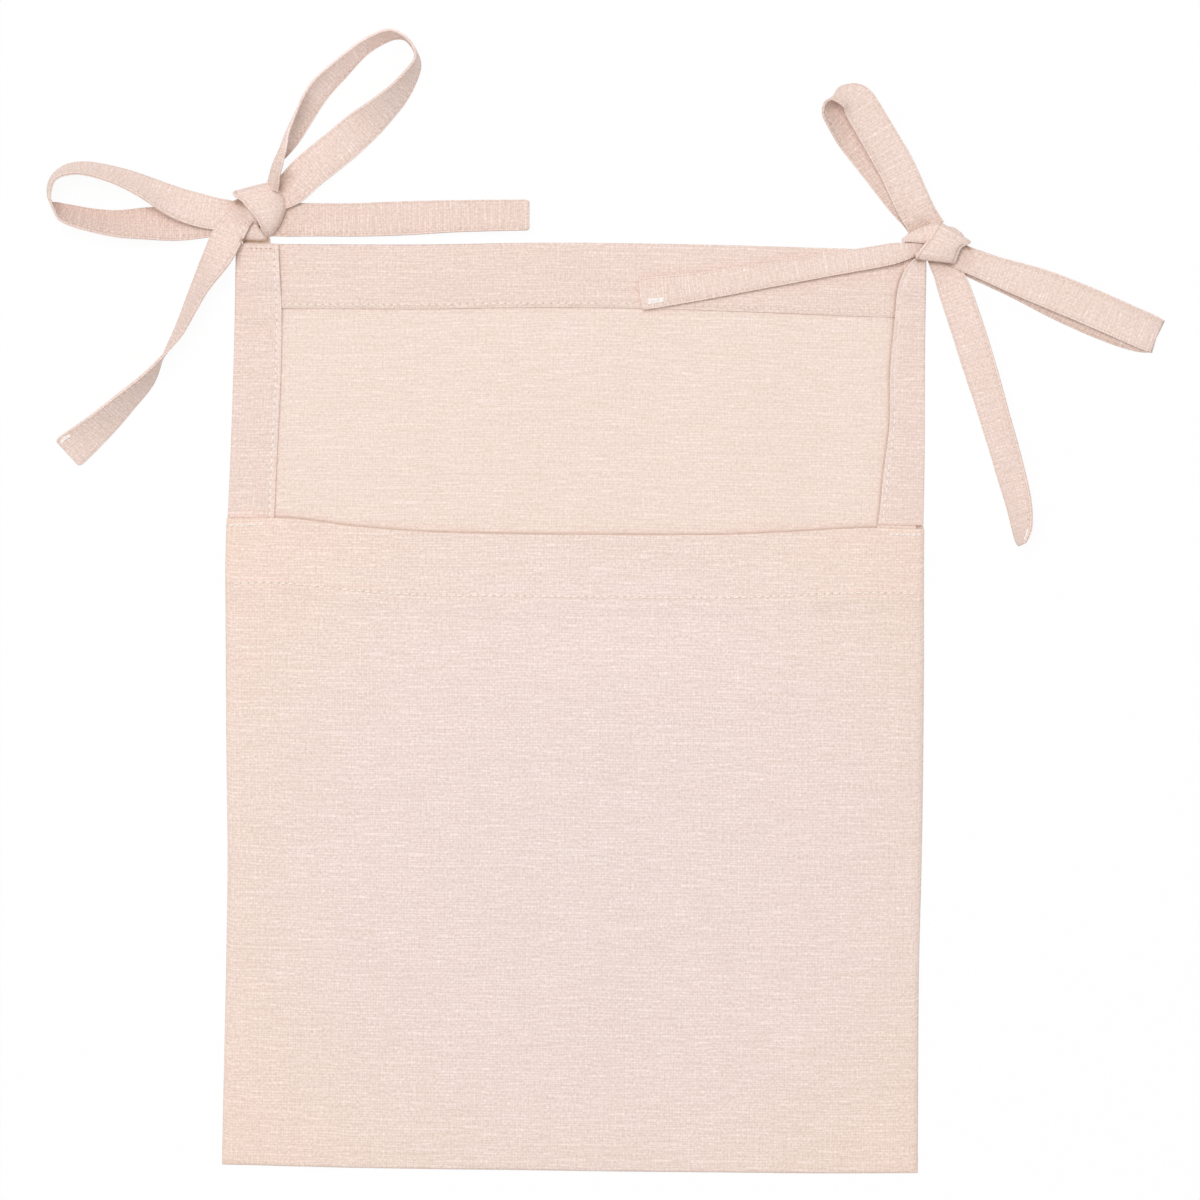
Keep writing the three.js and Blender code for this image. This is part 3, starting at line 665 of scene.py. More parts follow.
# Top hem, turned to the front
TOP_STITCH = TOP_HEM_W - 1.8
TOP_LIFT, TOP_SEED = 0.06, 1.3
steps = fold_steps(BACK_LAYER, (HEM_MID, HEM_T / 2))
flat_part = finer(steps[-1][0], TOP_HEM_W, 1.6, [TOP_STITCH, TOP_HEM_W], 0.4, 2.0)[1:]
inward, level, halves = np.array(steps + [(d, HEM_MID, HEM_T / 2) for d in flat_part]).T[..., None]
xs = finer(-inner, inner, SEAM_STEP, [-129, 141], 0.45, 8.0)
wider = top_hem_w(xs) / TOP_HEM_W
X, Y = np.broadcast_arrays(xs, HALF_H - inward * wider)
on_top = (np.arange(len(inward)) > len(steps) - 2)[:, None]
off, edge = inward - TOP_STITCH, TOP_HEM_W - inward
thin = on_top * 0.5 * halves * (1 - ease(edge / 1.5))
Z = level + on_top * (pucker(X, off, TOP_SEED) + TOP_LIFT) - thin
half = halves - on_top * groove(off) - thin + 0 * X
off, edge = (np.where(on_top, v, FAR) + 0 * X for v in (off, edge))
# Painted shade on the top hem just beyond the right side hem's edge: a soft falloff and a crisp line
beyond = np.maximum(HALF_W - right_hem_w(up_side(Y)) - X, 0)
painted_shading = on_top * (0.9 * np.exp(-beyond / 1.3) + 5.2 * bell(beyond, 0.6))
weave = with_seam(np.stack([X, 2 * HALF_H - Y], -1), (X + inner) / STITCH_PITCH, off, edge, painted_shading)
top_hem = sheet_piece("cloth_top_hem", lie(X, Y, Z), half, weave, "t", HEM)
level = HEM_MID + HEM_T / 2 - GROOVE + TOP_LIFT + pucker(xs, 0, TOP_SEED)
row = lie(xs, HALF_H - TOP_STITCH * wider, level)
for start, stop, radius in ((-inner, 10.0, 0.29), (10.0, inner, 0.2)):
    keep = (xs > start - 1) & (xs < stop)
    cream_threads += flat_row(row[keep], xs[keep], start, radius=radius)

SIDE_LIFT, SIDE_SEED = 0.05, 2.1
# The right side hem's stitches are seen up to here and only faintly above
FAINT_FROM = 133.0
# Stands for the distance from the stitch row where a fold's point isn't on the top layer
UNDERSIDE = 9.0


def outward(side, *grids):
    """Grids of a side piece, turned round on the right so that the skin faces out"""
    return [g[:, ::-1] if side > 0 else g for g in grids]


def side_hem(name, side, reach, stitch_in, roll, painted_edge_light):
    """A side allowance turned to the front above the pocket, on the left where side is -1; reach is its
    width, stitch_in how far the row is from the free edge, roll how much that edge stands up, and the last
    argument how much painted highlight lies along that raised edge"""
    ys = finer(MOUTH_Y - 0.3, HALF_H, SEAM_STEP, [HALF_H - 30, HALF_H - 17])
    rows = []
    for y, w, m in zip(ys, reach(up_side(ys)), side_hem_low(ys) + HEM_T / 2):
        steps = fold_steps(BACK_LAYER, (m, HEM_T / 2), HEM_FOLD)
        share = np.concatenate([np.linspace(0, 0.6, 7)[1:], np.linspace(0.6, 1, 15)[1:]])
        flats = steps[-1][0] + (w - steps[-1][0]) * share
        on_top = [(d, m, HEM_T / 2, d - (w - stitch_in)) for d in flats]
        rows.append([(*step, UNDERSIDE) for step in steps] + on_top)
    inward, level, half, off = np.moveaxis(np.array(rows), -1, 0)
    Y = np.broadcast_to(ys[:, None], off.shape)
    top = off < UNDERSIDE
    edge = stitch_in - off
    thin = top * (side < 0) * 0.3 * half * (1 - ease(edge / 1.3))
    Z = level + top * (pucker(Y, off, SIDE_SEED + side) + SIDE_LIFT + roll * edge_roll(edge)) - thin
    half = half - top * groove(off) - thin
    P = lie(side * (HALF_W - inward), Y, Z)
    # Painted shade from the spots round the knots, less a painted highlight along the raised free edge
    painted_shading = top * (painted_spot_shading(P[..., 0], P[..., 1]) - painted_edge_light * bell(edge - 1.1, 1.1))
    off = np.where(top & ((side < 0) | (Y < FAINT_FROM)), off, FAR)
    edge = np.where(top, edge, FAR)
    weave = np.stack([side * inward + HEM_U, Y], -1)
    weave = with_seam(weave, (Y - MOUTH_Y) / STITCH_PITCH, off, edge, painted_shading)
    obj = sheet_piece(name, *outward(side, P, half, weave), "lbt" if side > 0 else "rbt", HEM)
    end = HALF_H - 1.5
    parts = [(MOUTH_Y, end, 0.3)] if side < 0 else [(MOUTH_Y, FAINT_FROM, 0.27), (FAINT_FROM, end, 0.13)]
    for start, stop, radius in parts:
        stitch_y = np.linspace(start, stop, 100)
        x = side * (HALF_W - (reach(up_side(stitch_y)) - stitch_in))
        z = side_hem_low(stitch_y) + HEM_T - GROOVE + SIDE_LIFT + pucker(stitch_y, 0, SIDE_SEED + side)
        panel_threads.extend(flat_row(lie(x, stitch_y, z), stitch_y, start, radius=radius))
    return obj


left_hem = side_hem("cloth_left_side_hem", -1, left_hem_w, stitch_in=2.2, roll=0.5, painted_edge_light=1.1)
right_hem = side_hem("cloth_right_side_hem", 1, right_hem_w, stitch_in=2.1, roll=1.4, painted_edge_light=1.7)

# Short sunk row that closes the top of the left side hem over the tape's tongue; its thread is painted dark,
# as the shade it sits in
SUNK_START, SUNK_END, SUNK_Y = -144.0, -133.5, HALF_H - 2.2
xs = np.linspace(SUNK_START, SUNK_END, 24)
row = lie(xs, SUNK_Y, side_hem_low(SUNK_Y) + HEM_T)
sunk_threads = flat_row(row, xs, SUNK_START, pitch=2.1, length=0.9, radius=0.32)

# Pocket front: folded up at the bottom, its mouth turned in over the mouth hem
row_depth = evenly([28.4, 28.3, 27.4, 26.9, 26.8, 27.0, 27.4, 28.0, 28.2])
MOUTH_FOLD = ((CLOTH_T + HEM_T) / 2 + LAYER_GAP) / 2 + CLOTH_T / 2
NEAR_MOUTH, BESIDE_ROW, POCKET_LIFT, POCKET_SEED = 40.0, 3.0, 0.17, 0.7


def row_at(x):
    """Where the stitch row that holds the mouth hem lies"""
    return mouth_at(x) - row_depth(x / PANEL_W + 0.5)


def gathers(x, beside):
    """The gathers along that row, none at the panel's sides"""
    return ease((HALF_W - np.abs(x)) / 6) * pucker(x, beside, POCKET_SEED)


edge = np.array([0, 0.06, 0.2, 0.4, 0.7, 1.1, 1.6, 2.2, 2.8, SIDE_ROUND])
xs = np.concatenate([edge - HALF_W, finer(-HALF_W + 4.6, HALF_W - 4.6, SEAM_STEP), (HALF_W - edge)[::-1]])
columns = []
for x in xs:
    mouth, seam = float(mouth_at(x)), float(row_at(x))
    front = (float(pocket_low(x, -HALF_H)) + CLOTH_T / 2, CLOTH_T / 2)
    column = [(d - HALF_H, z) for d, z, _ in fold_steps(BACK_LAYER, front)]
    for first, last, count in (
        (column[-1][0], mouth - NEAR_MOUTH, 84),
        (mouth - NEAR_MOUTH, seam - BESIDE_ROW, 7),
        (seam - BESIDE_ROW, seam + BESIDE_ROW, 13),
        (seam + BESIDE_ROW, mouth - MOUTH_FOLD - 0.6, 14),
    ):
        levels = np.linspace(first, last, count)[1:]
        column += [(y, float(pocket_low(x, y)) + CLOTH_T / 2) for y in levels]
    top = float(pocket_low(x, mouth)) + CLOTH_T / 2
    under = top - (CLOTH_T + HEM_T) / 2 - LAYER_GAP
    turned = fold_steps((under, CLOTH_T / 2), (top, CLOTH_T / 2), MOUTH_FOLD, MOUTH_TURNS)[::-1]
    columns.append(column + [(mouth - d, z) for d, z, _ in turned])
columns = np.array(columns).swapaxes(0, 1)
X = np.broadcast_to(xs[None, :], columns.shape[:2])
Y, Z = columns[..., 0], columns[..., 1]
beside = Y - row_at(X)
place = np.arange(len(columns))
face = ((place > FOLD_TURNS + 1) & (place < len(columns) - MOUTH_TURNS - 2))[:, None]
Z = Z + face * gathers(X, beside)
half = CLOTH_T / 2 - face * 0.8 * groove(beside)
weave = np.stack([X + POCKET_U, lengths(np.stack([Y, Z], -1))], -1)
weave = with_seam(weave, (X + HALF_W) / STITCH_PITCH, np.where(face, beside, FAR))
pocket = sheet_piece("cloth_pocket_front", lie(X, Y, Z), half, weave, "lr", POCKET)
xs = np.linspace(-HALF_W + 1.2, HALF_W - 1.2, 400)
y = row_at(xs)
row = lie(xs, y, pocket_low(xs, y) + CLOTH_T - 0.8 * GROOVE + gathers(xs, 0) + POCKET_LIFT)
up = unit(np.cross(np.gradient(row, axis=0), [0, 1.0, 0]))
cream_threads += stitches(row, up, xs, STITCH_PITCH - HALF_W, radius=0.4)

# Short tacks at the two corners of the mouth, through the side hems
for first, last, below in ((-148.9, -134.3, 3.1), (134.9, 149.5, 2.8)):
    xs = np.linspace(first, last, 30)
    y = mouth_at(xs) - below
    row = lie(xs, y, pocket_low(xs, y) + CLOTH_T + 0.22)
    panel_threads += flat_row(row, xs, first, pitch=2.4, length=1.8, radius=0.42)

# Mouth hem, turned inside
reach = HALF_W - SIDE_ROUND - LAYER_GAP
xs = finer(-reach, reach, 2.2)
depth = np.linspace(MOUTH_HEM_W, MOUTH_FOLD + FOLD_STUB, 16)
X, Y = np.broadcast_arrays(xs, mouth_at(xs) - depth[:, None])
Z = pocket_low(X, Y) - LAYER_GAP - HEM_T / 2
weave = np.stack([X, 2 * MOUTH_Y - Y], -1)
mouth_hem = sheet_piece("cloth_pocket_mouth_hem", lie(X, Y, Z), np.full(X.shape, HEM_T / 2), weave, "b", HEM)


def side_seam(name, side):
    """The allowances sewn together and turned inside the pocket"""
    start = SIDE_ROUND - LAYER_GAP
    ys = finer(-HALF_H + start, MOUTH_Y - LAYER_GAP, 2.5)
    inward = np.linspace(start, start + SEAM_W, 9)
    X, Y = np.broadcast_arrays(side * (HALF_W - inward)[None, :], ys[:, None])
    P = lie(X, Y, CLOTH_T + LAYER_GAP + SEAM_T / 2)
    grids = outward(side, P, np.full(X.shape, SEAM_T / 2), np.stack([X, Y], -1))
    return sheet_piece(name, *grids, "lrbt", HEM)


left_seam = side_seam("cloth_left_side_seam", -1)
right_seam = side_seam("cloth_right_side_seam", 1)

threads = mesh_object("thread_panel_rows", panel_threads, THREAD)
cream = mesh_object("thread_cream_rows", cream_threads, CREAM_THREAD)
sunk = mesh_object("thread_sunk_row", sunk_threads, SUNK_THREAD)

sewn = [threads, cream, sunk]
side_l = HALF_H - MOUTH_Y
panel_flat = (PANEL_W, PANEL_H)
declare(back_panel, "panel_cloth", panel_flat, "laid", ["cloth_top_hem"], "back_panel", with_pieces=sewn)
folded = (
    (top_hem, "hem_cloth", (2 * inner, TOP_HEM_W + 3), "cloth_back_panel", "top_hem"),
    (left_hem, "hem_cloth", (SIDE_HEM_W + 3, side_l), "cloth_back_panel", "left_side_hem"),
    (right_hem, "hem_cloth", (SIDE_HEM_W, side_l), "cloth_back_panel", "right_side_hem"),
    (pocket, "panel_cloth", (PANEL_W, POCKET_H), "cloth_back_panel", "pocket_front"),
    (mouth_hem, "hem_cloth", (2 * reach, MOUTH_HEM_W), "cloth_pocket_front", "pocket_mouth_hem"),
    (left_seam, "hem_cloth", (SEAM_W, POCKET_H), "cloth_back_panel", "left_side_seam"),
    (right_seam, "hem_cloth", (SEAM_W, POCKET_H), "cloth_back_panel", "right_side_seam"),
)
for piece, slot, flat, under, node in folded:
    declare(piece, slot, flat, "folded", [under], node)
for piece in (back_panel, *(row[0] for row in folded), *sewn):
    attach(piece, HOLDER)

# Tie tapes

EDGE_STITCH, STITCH_START, STITCH_STOP, STITCH_SUNK = 2.0, 4.0, 1.5, 0.1
KNOT_PINCH, PINCH_START, PINCH_RUN = (0.72, 0.72), 8.0, 9.0
PLEATS, ROW_STEP = 0.25, 1.2


def knot_of(name):
    return LEFT_KNOT if name.startswith("left") else RIGHT_KNOT


class Tape:
    """A folded, edge stitched tape along listed stations: x, y from the knot, lift in layers, heading of
    the tape's width in plan, how steeply that width leans up, the share of it left where the tape is bunched,
    and how far in degrees the tape curls across its width"""

    def __init__(self, name, stations, stitched, ends, width=TAPE_W, pinch=KNOT_PINCH):
        """stitched is the side of the open edge, 1 or -1, ends how many ends go into the knot, and pinch the
        share of its width that each keeps there"""
        self.name, self.stitched, self.ends, self.width, self.pinch = name, stitched, ends, width, pinch
        knot = knot_of(name)
        table = []
        for x, y, lift, heading, lean, *more in stations:
            h, l = math.radians(heading), math.radians(lean)
            across = (math.cos(l) * math.cos(h), math.cos(l) * math.sin(h), math.sin(l))
            share, curl = more + [1.0, 0.0][len(more):]
            table.append([x, y, lift, *across, share, math.radians(curl)])
        fine = through(table, 14)
        W, bunched = unit(fine[:, 3:6]), fine[:, 6]
        curl = np.maximum(fine[:, 7:8], 1e-3)
        kappa = curl[:, 0] / (width * bunched)
        a = np.linspace(-0.5, 0.5, 9)[None, :] * curl
        way = unit(np.gradient(fine[:, :2], axis=0))
        back = (way[:, 0] * W[:, 1] - way[:, 1] * W[:, 0])[:, None]
        rise = TAPE_T / 2 - ((W[:, 2:3] * np.sin(a) - back * (1 - np.cos(a))) / kappa[:, None]).min(1)
        z = np.maximum(0, fine[:, 2]) * TAPE_LAYER + rise
        P = np.stack([knot[0] + fine[:, 0], knot[1] + fine[:, 1], z], -1)
        s = lengths(P)
        self.length = float(s[-1])
        ahead = unit(np.gradient(P, axis=0))
        bend = np.linalg.norm(np.gradient(ahead, s + 1e-9 * np.arange(len(s)), axis=0), axis=1)
        step = np.clip(0.3 / np.maximum(bend, 1e-6), 0.3, ROW_STEP)
        step = np.minimum(step, 0.3 + 0.25 * np.minimum(s, self.length - s))
        run = np.concatenate([[0], np.cumsum(np.diff(s) * (1 / step[1:] + 1 / step[:-1]) / 2)])
        inner = np.interp(np.linspace(0, run[-1], int(run[-1]) + 2), run, s)
        tips = np.array([0.05, 0.17, 0.36]) * TAPE_T
        self.s = np.unique(np.concatenate([inner, tips, self.length - tips]).round(4))
        self.P = read_off(self.s, s, P)
        self.P[:, 2] += relief(self.P[:, 0], self.P[:, 1])
        self.bunched = np.interp(self.s, s, bunched)
        self.kappa = np.interp(self.s, s, kappa)
        T = unit(read_off(self.s, s, ahead))
        W = read_off(self.s, s, W)
        self.W = unit(W - T * (W * T).sum(1, keepdims=True))
        self.N = unit(np.cross(T, self.W))

    def at(self, s):
        return [float(v) * MM for v in read_off(s, self.s, self.P)]

    def share(self):
        """How much of its width the tape keeps, drawn in where it enters a knot"""
        keep = 1 - 0.14 * np.clip(1 - (self.length - self.s) / 1.8, 0, 1) ** 2 * (self.ends == 1)
        for end in range(self.ends):
            nearest = self.length - self.s if end else self.s
            keep = keep - (1 - self.pinch[end]) * np.exp(-np.maximum(0, nearest - PINCH_START) / PINCH_RUN)
        return keep * self.bunched

    def across(self, c, lift):
        """Points at a distance c across the tape and at a lift off its curled middle layer"""
        a = self.kappa[:, None] * c
        k = self.kappa[:, None, None]
        W, N, a, lift = self.W[:, None], self.N[:, None], a[..., None], lift[..., None]
        middle = self.P[:, None] + W * np.sin(a) / k - N * (1 - np.cos(a)) / k
        return middle + (N * np.cos(a) + W * np.sin(a)) * lift

    def section(self):
        """Outline of the tape cut across: two lips at the stitched edge, one round fold at the other"""
        t, r = TAPE_T / 2, self.width / 2
        lip = t / 2
        lip_turn, fold_turn = np.radians([215, 180, 140, 95]), np.radians([75, 45, 18])
        upper = [(-r + lip + lip * math.cos(a), lip + lip * math.sin(a)) for a in lip_turn]
        inner = [-r + d for d in (0.6, 0.8, 0.95, 1.1, 1.35, 1.7, 2.0, 2.3, 2.8, 4.0)]
        for c in inner + list(np.linspace(-r + 5.5, r - 1.8, 7)):
            d = c + r
            sunk = 0.12 * bell(d - 0.95, 0.2) + STITCH_SUNK * bell(d - EDGE_STITCH, 0.4)
            upper.append((c, t - sunk + 0.04 * math.sin(d / (2 * r) * math.pi)))
        upper += [(r - 1.2, t * 0.97), (r - 0.95, t * 0.86), (r - 0.7, t * 0.95)]
        upper += [(r - t + t * math.cos(a), t * math.sin(a)) for a in fold_turn]
        loop = upper + [(r, 0.0)] + [(c, -h) for c, h in reversed(upper)] + [(-r + 0.5 * t + 0.3, 0.0)]
        return np.array(loop) if self.stitched > 0 else (np.array(loop) * [-1, 1])[::-1]

    def swell(self, c):
        """How far the middle layer stands off the flat: pleats at the knot, a lazy wave and a slight cup"""
        side = c / (self.width / 2)
        s = self.s.reshape(-1, *[1] * (np.ndim(c) - 1))
        near = np.minimum(s, self.length - s) if self.ends == 2 else s
        fold = PLEATS * (self.ends > 0) * bell(near, 14) * np.cos(side * 2.5 * math.pi + 0.6) * (1 - side**4)
        cup = 0.3 * np.sin(s / 17 + 2 * self.stitched) * (side**2 - 0.33)
        wave = 0.12 * np.sin(s / 7.3 + self.stitched) * side + 0.07 * np.sin(s / 4.1 + 1.7) * side**2
        return fold + cup + wave

    def skin(self, painted_shading=0):
        """Corners, faces and weave coordinates of the whole tape"""
        loop = self.section()
        h = TAPE_T / 2
        from_end = np.minimum(self.s, self.length - self.s)
        thick = np.sqrt(np.clip(1 - (1 - np.minimum(from_end, h) / h) ** 2, 0.06, 1))
        c = loop[None, :, 0] * self.share()[:, None]
        lift = loop[None, :, 1] * thick[:, None] + self.swell(c)
        corners = self.across(c, lift)
        s, across, side = np.broadcast_arrays(self.s[:, None], *loop.T[:, None])
        off = across + self.stitched * (self.width / 2 - EDGE_STITCH)
        off = np.where((s > STITCH_START) & (s < self.length - STITCH_STOP), off, FAR)
        edge = self.width / 2 - np.abs(across)
        # Painted shade: on the face that the argument's sign picks, where a loop's inner face or a tail lies
        # in shade, close to a knot, and in the hollow spots, whose depth below zero paints light instead
        near = np.maximum(from_end if self.ends == 2 else self.s, PINCH_START)[:, None] - PINCH_START
        tape_painted_shading = np.where(painted_shading * side > 0, abs(painted_shading), 0.0) + 1.5 * (self.ends > 0) * np.exp(-near / 4.5)
        tape_painted_shading = tape_painted_shading + painted_spot_shading(corners[..., 0], corners[..., 1])
        weave = np.stack([across + REVERSE_U * (side < 0), s], -1)
        weave = with_seam(weave, (s - STITCH_START) / TAPE_PITCH, off, edge, tape_painted_shading)
        return corners.reshape(-1, 3), list(tube(*s.shape)), weave.reshape(-1, 6)

    def row(self, face, first, last, inset=EDGE_STITCH):
        """Points, normals and lengths of the stitch row on one face, between two lengths along the tape"""
        c = -self.stitched * (self.width / 2 - inset) * self.share()
        h = self.swell(c) + face * (TAPE_T / 2 - STITCH_SUNK)
        points, further = (self.across(c[:, None], (h + d)[:, None])[:, 0] for d in (0, face))
        keep = (self.s >= first) & (self.s <= last)
        return points[keep], (further - points)[keep], self.s[keep]


def tape_pieces(tape, nodes, painted_shading, tack=None):
    """A tape and its threads as objects, their CAD parts hidden; tack says where threads pile up: how far
    from the end, over what length and at what insets"""
    skin = mesh_object("tape_" + tape.name, [tape.skin(painted_shading)], TAPE)
    sewn, piled = [], []
    stop = tape.length - STITCH_STOP * tape.ends
    for face in (1, -1):
        row = tape.row(face, STITCH_START - 1, stop)
        sewn += stitches(*row, STITCH_START, pitch=TAPE_PITCH, length=TAPE_STITCH, radius=TAPE_THREAD_R)
        if tack is not None:
            from_end, long, insets = tack
            first, last = tape.length - from_end - long, tape.length - from_end
            for inset in insets:
                row = tape.row(face, first - 1.3, last + 1.3, inset)
                piled += stitches(*row, first, long / 3, long / 3 + 0.3, TACK_R, wander=0.2)
    threads = [mesh_object("thread_" + tape.name, sewn, TAPE_THREAD)]
    if piled:
        threads.append(mesh_object("tack_" + tape.name, piled, THREAD))
    knot = "tape_" + tape.name.split("_")[0] + "_knot"
    declare(skin, "tie_tape", (tape.width, tape.length), "folded", [knot], *nodes, with_pieces=threads)
    return skin, *threads


def loop_piece(name, stations, stitched, painted_shading, pinch=KNOT_PINCH):
    for piece in tape_pieces(Tape(name, stations, stitched, ends=2, pinch=pinch), [name], painted_shading):
        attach(piece, HOLDER)


def tail_piece(name, stations, stitched, width=TAPE_W, tack=None, painted_shading=0, pinch=KNOT_PINCH):
    tape = Tape(name, stations, stitched, ends=1, width=width, pinch=pinch)
    for piece in tape_pieces(tape, [name, name + "_neck"], painted_shading, tack):
        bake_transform(piece)


loop_piece("left_outer_loop", [
    (-3, -3.4, 2.2, -106, 0), (-12, -3.1, 2, -106, 4), (-21, -2.4, 1.6, -106, 10), (-34, 1.3, 0.7, -107, 28),
    (-47, 7.4, 0, -110, 50), (-58, 12.2, 0, -110, 59), (-67.5, 15.1, 0, -105, 64), (-76, 16.5, 0, -95, 68),
    (-83, 15.8, 0, -75, 72), (-88.3, 12.7, 0, -50, 78), (-90.3, 7.8, 0, -30, 80), (-89.8, 2.4, 0, -45, 82),
    (-86, -1.6, 0, -80, 61), (-79.5, -4.2, 0, -95, 55), (-71, -6, 0, -98, 50), (-60, -7.3, 0, -95, 40),
    (-48.5, -7.0, 0, -91, 28), (-35, -6.7, 0, -90, 15), (-22.5, -5.5, 0, -88, 8), (-13, -4.0, 0, -80, 3),
    (-7.5, -1.6, 0, -80, 0), (-2, 0, 0, -75, 0),
], stitched=-1, painted_shading=-1)

loop_piece("left_upper_loop", [
    (2, 3, 2.3, 128, 0), (13, 7.5, 2.4, 130, 4), (21.5, 15.5, 1.6, 133, 6), (35, 26.5, 0.6, 135, 10),
    (43, 33.5, 0.1, 135, 18), (52, 41, 0, 135, 42), (60, 49, 0, 132, 58), (66, 57.5, 0, 125, 70),
    (68.3, 63.5, 0, 125, 79), (66.3, 69.2, 0, 140, 84), (62.2, 73.2, 0, 140, 84),
    (57.4, 74.5, 0, 125, 74, 0.85), (50.8, 72.2, 0, 120, 66, 0.74), (43.6, 67.5, 0, 125, 61, 0.74),
    (34.2, 58.8, 0, 133, 54, 0.8), (24.4, 49.5, 0, 142, 52, 0.9, 36), (13.7, 33.4, 0, 154, 66, 1, 92),
    (9.7, 25.6, 0, 158, 85, 0.97, 100), (7.2, 19.6, 0.1, 160, 106, 0.93, 68),
    (5.6, 13.9, 0.3, 160, 112, 0.84, 64), (5.2, 10.2, 0.5, 160, 116, 0.82, 56),
    (4.7, 7.0, 0.6, 160, 118, 0.78, 50),
], stitched=1, painted_shading=-1, pinch=(0.85, 1.0))

loop_piece("right_upper_loop", [
    (-8.1, 4.2, 2.6, 24, 0), (-13.7, 13.3, 2.8, 26, 0), (-21.9, 30.8, 3.6, 28, 0), (-27.1, 39.8, 4.1, 28, -5),
    (-31.7, 47.6, 4.2, 28, -10), (-36.7, 56, 4.2, 29, -14), (-39.0, 59.6, 3.9, 32, -21),
    (-41.7, 61.9, 3.1, 36, -31), (-45.4, 62.9, 1.9, 41, -43), (-48.8, 62.4, 1.1, 43, -49),
    (-50.6, 60.2, 0.4, 43, -52), (-49.9, 56.4, 0, 41, -45), (-44.6, 50.4, 0, 37, -25),
    (-38.9, 43.3, 0, 36, -8), (-29.2, 31.2, 0, 36, 0), (-15.3, 12.2, 0, 36, 0), (-9.5, 5, 0.2, 36, 0),
], stitched=1, painted_shading=1, pinch=(0.95, 0.8))

loop_piece("right_outer_loop", [
    (1.1, -4.6, 2.1, 68, 0, 0.7), (8.4, -8.2, 2.1, 68, 0, 0.7), (17, -11.6, 2.2, 68, 0, 0.73),
    (28, -15.6, 2.4, 68, 0, 0.86), (40.9, -20.2, 2.5, 67, 0, 0.97), (53, -25, 2.6, 67, 0),
    (65.8, -30.4, 2.5, 67, 0), (78, -35.8, 2.1, 67, 0), (86.4, -39.4, 1.5, 68, 0),
    (90.2, -41, 0.8, 68, 0, 0.94), (87.6, -40.4, 0.25, 70, 0), (82, -39.7, 0, 73, 5), (73.2, -37, 0, 69, 10),
    (60.4, -31.9, 0, 66, 11), (47.9, -26.1, 0, 63, 11), (35, -19.4, 0, 63, 11), (25.9, -15.7, 0, 63, 8, 0.9),
    (12.4, -10.2, 0, 66, 4, 0.8), (3.3, -6, 0, 68, 0, 0.7),
], stitched=-1, painted_shading=-2.4, pinch=(1.0, 1.0))

tail_piece("left_lower_tail", [
    (-3, 1.5, 3, -27, 0), (-7, -3, 3.2, -27, 4), (-12.9, -11.2, 2.7, -25, 14), (-17.6, -21, 1.7, -23, 32),
    (-24.7, -33.5, 0.6, -22, 57), (-29.9, -44.7, 0, -20, 66), (-34.8, -54.7, 0, -25, 72),
    (-41.2, -64.6, 0, -32, 87), (-48.4, -75, 0, -38, 110), (-58.7, -85.2, 0, -42, 123),
    (-70.4, -96, 0, -44, 140), (-83, -106.4, 0, -46, 168),
], stitched=-1, tack=(1.5, 5.5, (1.6, 2.1, 2.6)))

tail_piece("left_right_tail", [
    (2.3, -4.6, 0.4, 90, 0), (11, -5.1, 0.4, 90, 0, 0.96), (21.8, -5.3, 0.2, 90, -10, 0.93),
    (43.4, -5.25, 0, 90, -14, 0.94), (65, -4.5, 0, 88, -10, 0.94), (86.6, -3.75, 0, 87, -16, 0.91),
    (104, -3.5, 0, 87, -20, 0.905), (116.8, -3.3, 0, 86, -22, 0.92),
], stitched=1, painted_shading=1, pinch=(0.97,))

tail_piece("right_inner_tail", [
    (-5.4, -1.9, 3.6, 98, 0, 0.42), (-14.2, -3.8, 3.6, 98, 0, 0.44), (-22.5, -5.4, 3.5, 98, 0, 0.63),
    (-30, -6.8, 3.1, 98, 0, 0.67), (-42, -8.8, 2.6, 99, 0, 0.69), (-52, -10.3, 2.4, 99, 0, 0.73),
    (-78.9, -15.1, 2.2, 99, 0, 0.76), (-110, -20.1, 2.0, 98, 0, 0.87), (-133.2, -23.0, 1.85, 98, 0),
], stitched=1, width=NARROW_TAIL_W, tack=(2.9, 7.6, (2.6, 3.3, 4.1)), pinch=(1.0,))

tail_piece("right_lower_tail", [
    (-4, -4, 1.1, 20, 0), (-2, -10, 1.1, 20, 0), (1.2, -16.5, 1.05, 20, 0, 0.98),
    (6.4, -31.5, 0, 17, 16, 0.94), (14.4, -56.6, 0, 19, 25, 0.955), (21.9, -82, 0, 18, 34, 0.93),
    (27.6, -102.4, 0, 14, 38, 0.93), (30.4, -114, 0, 8, 46, 0.93), (31.9, -124.5, 0, 2, 62, 0.97),
    (31.6, -131.4, 0, -5, 84),
], stitched=-1, tack=(1.5, 4.5, (1.6, 2.1)))

# The end of each tape, sewn in under the side hem
TONGUE_LIFT = (HEM_LOW + HEM_T + LAYER_GAP) / TAPE_LAYER


def root_piece(name, tongue_x, width, beyond):
    knot, held = knot_of(name), []
    for dy in (-TONGUE_L, -TONGUE_L / 2, 0.2):
        p = lie(tongue_x, HALF_H + dy, 0.0)
        held.append((p[0] - knot[0], p[1] - knot[1], TONGUE_LIFT, 0, 0))
    tape = Tape(name, held + beyond, stitched=1, ends=0, width=width)
    skin = mesh_object("tape_" + name, [tape.skin()], TAPE)
    declare(skin, "tie_tape", (max(width, 10.0), tape.length), "folded", ["cloth_top_hem"], name)
    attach(skin, HOLDER)


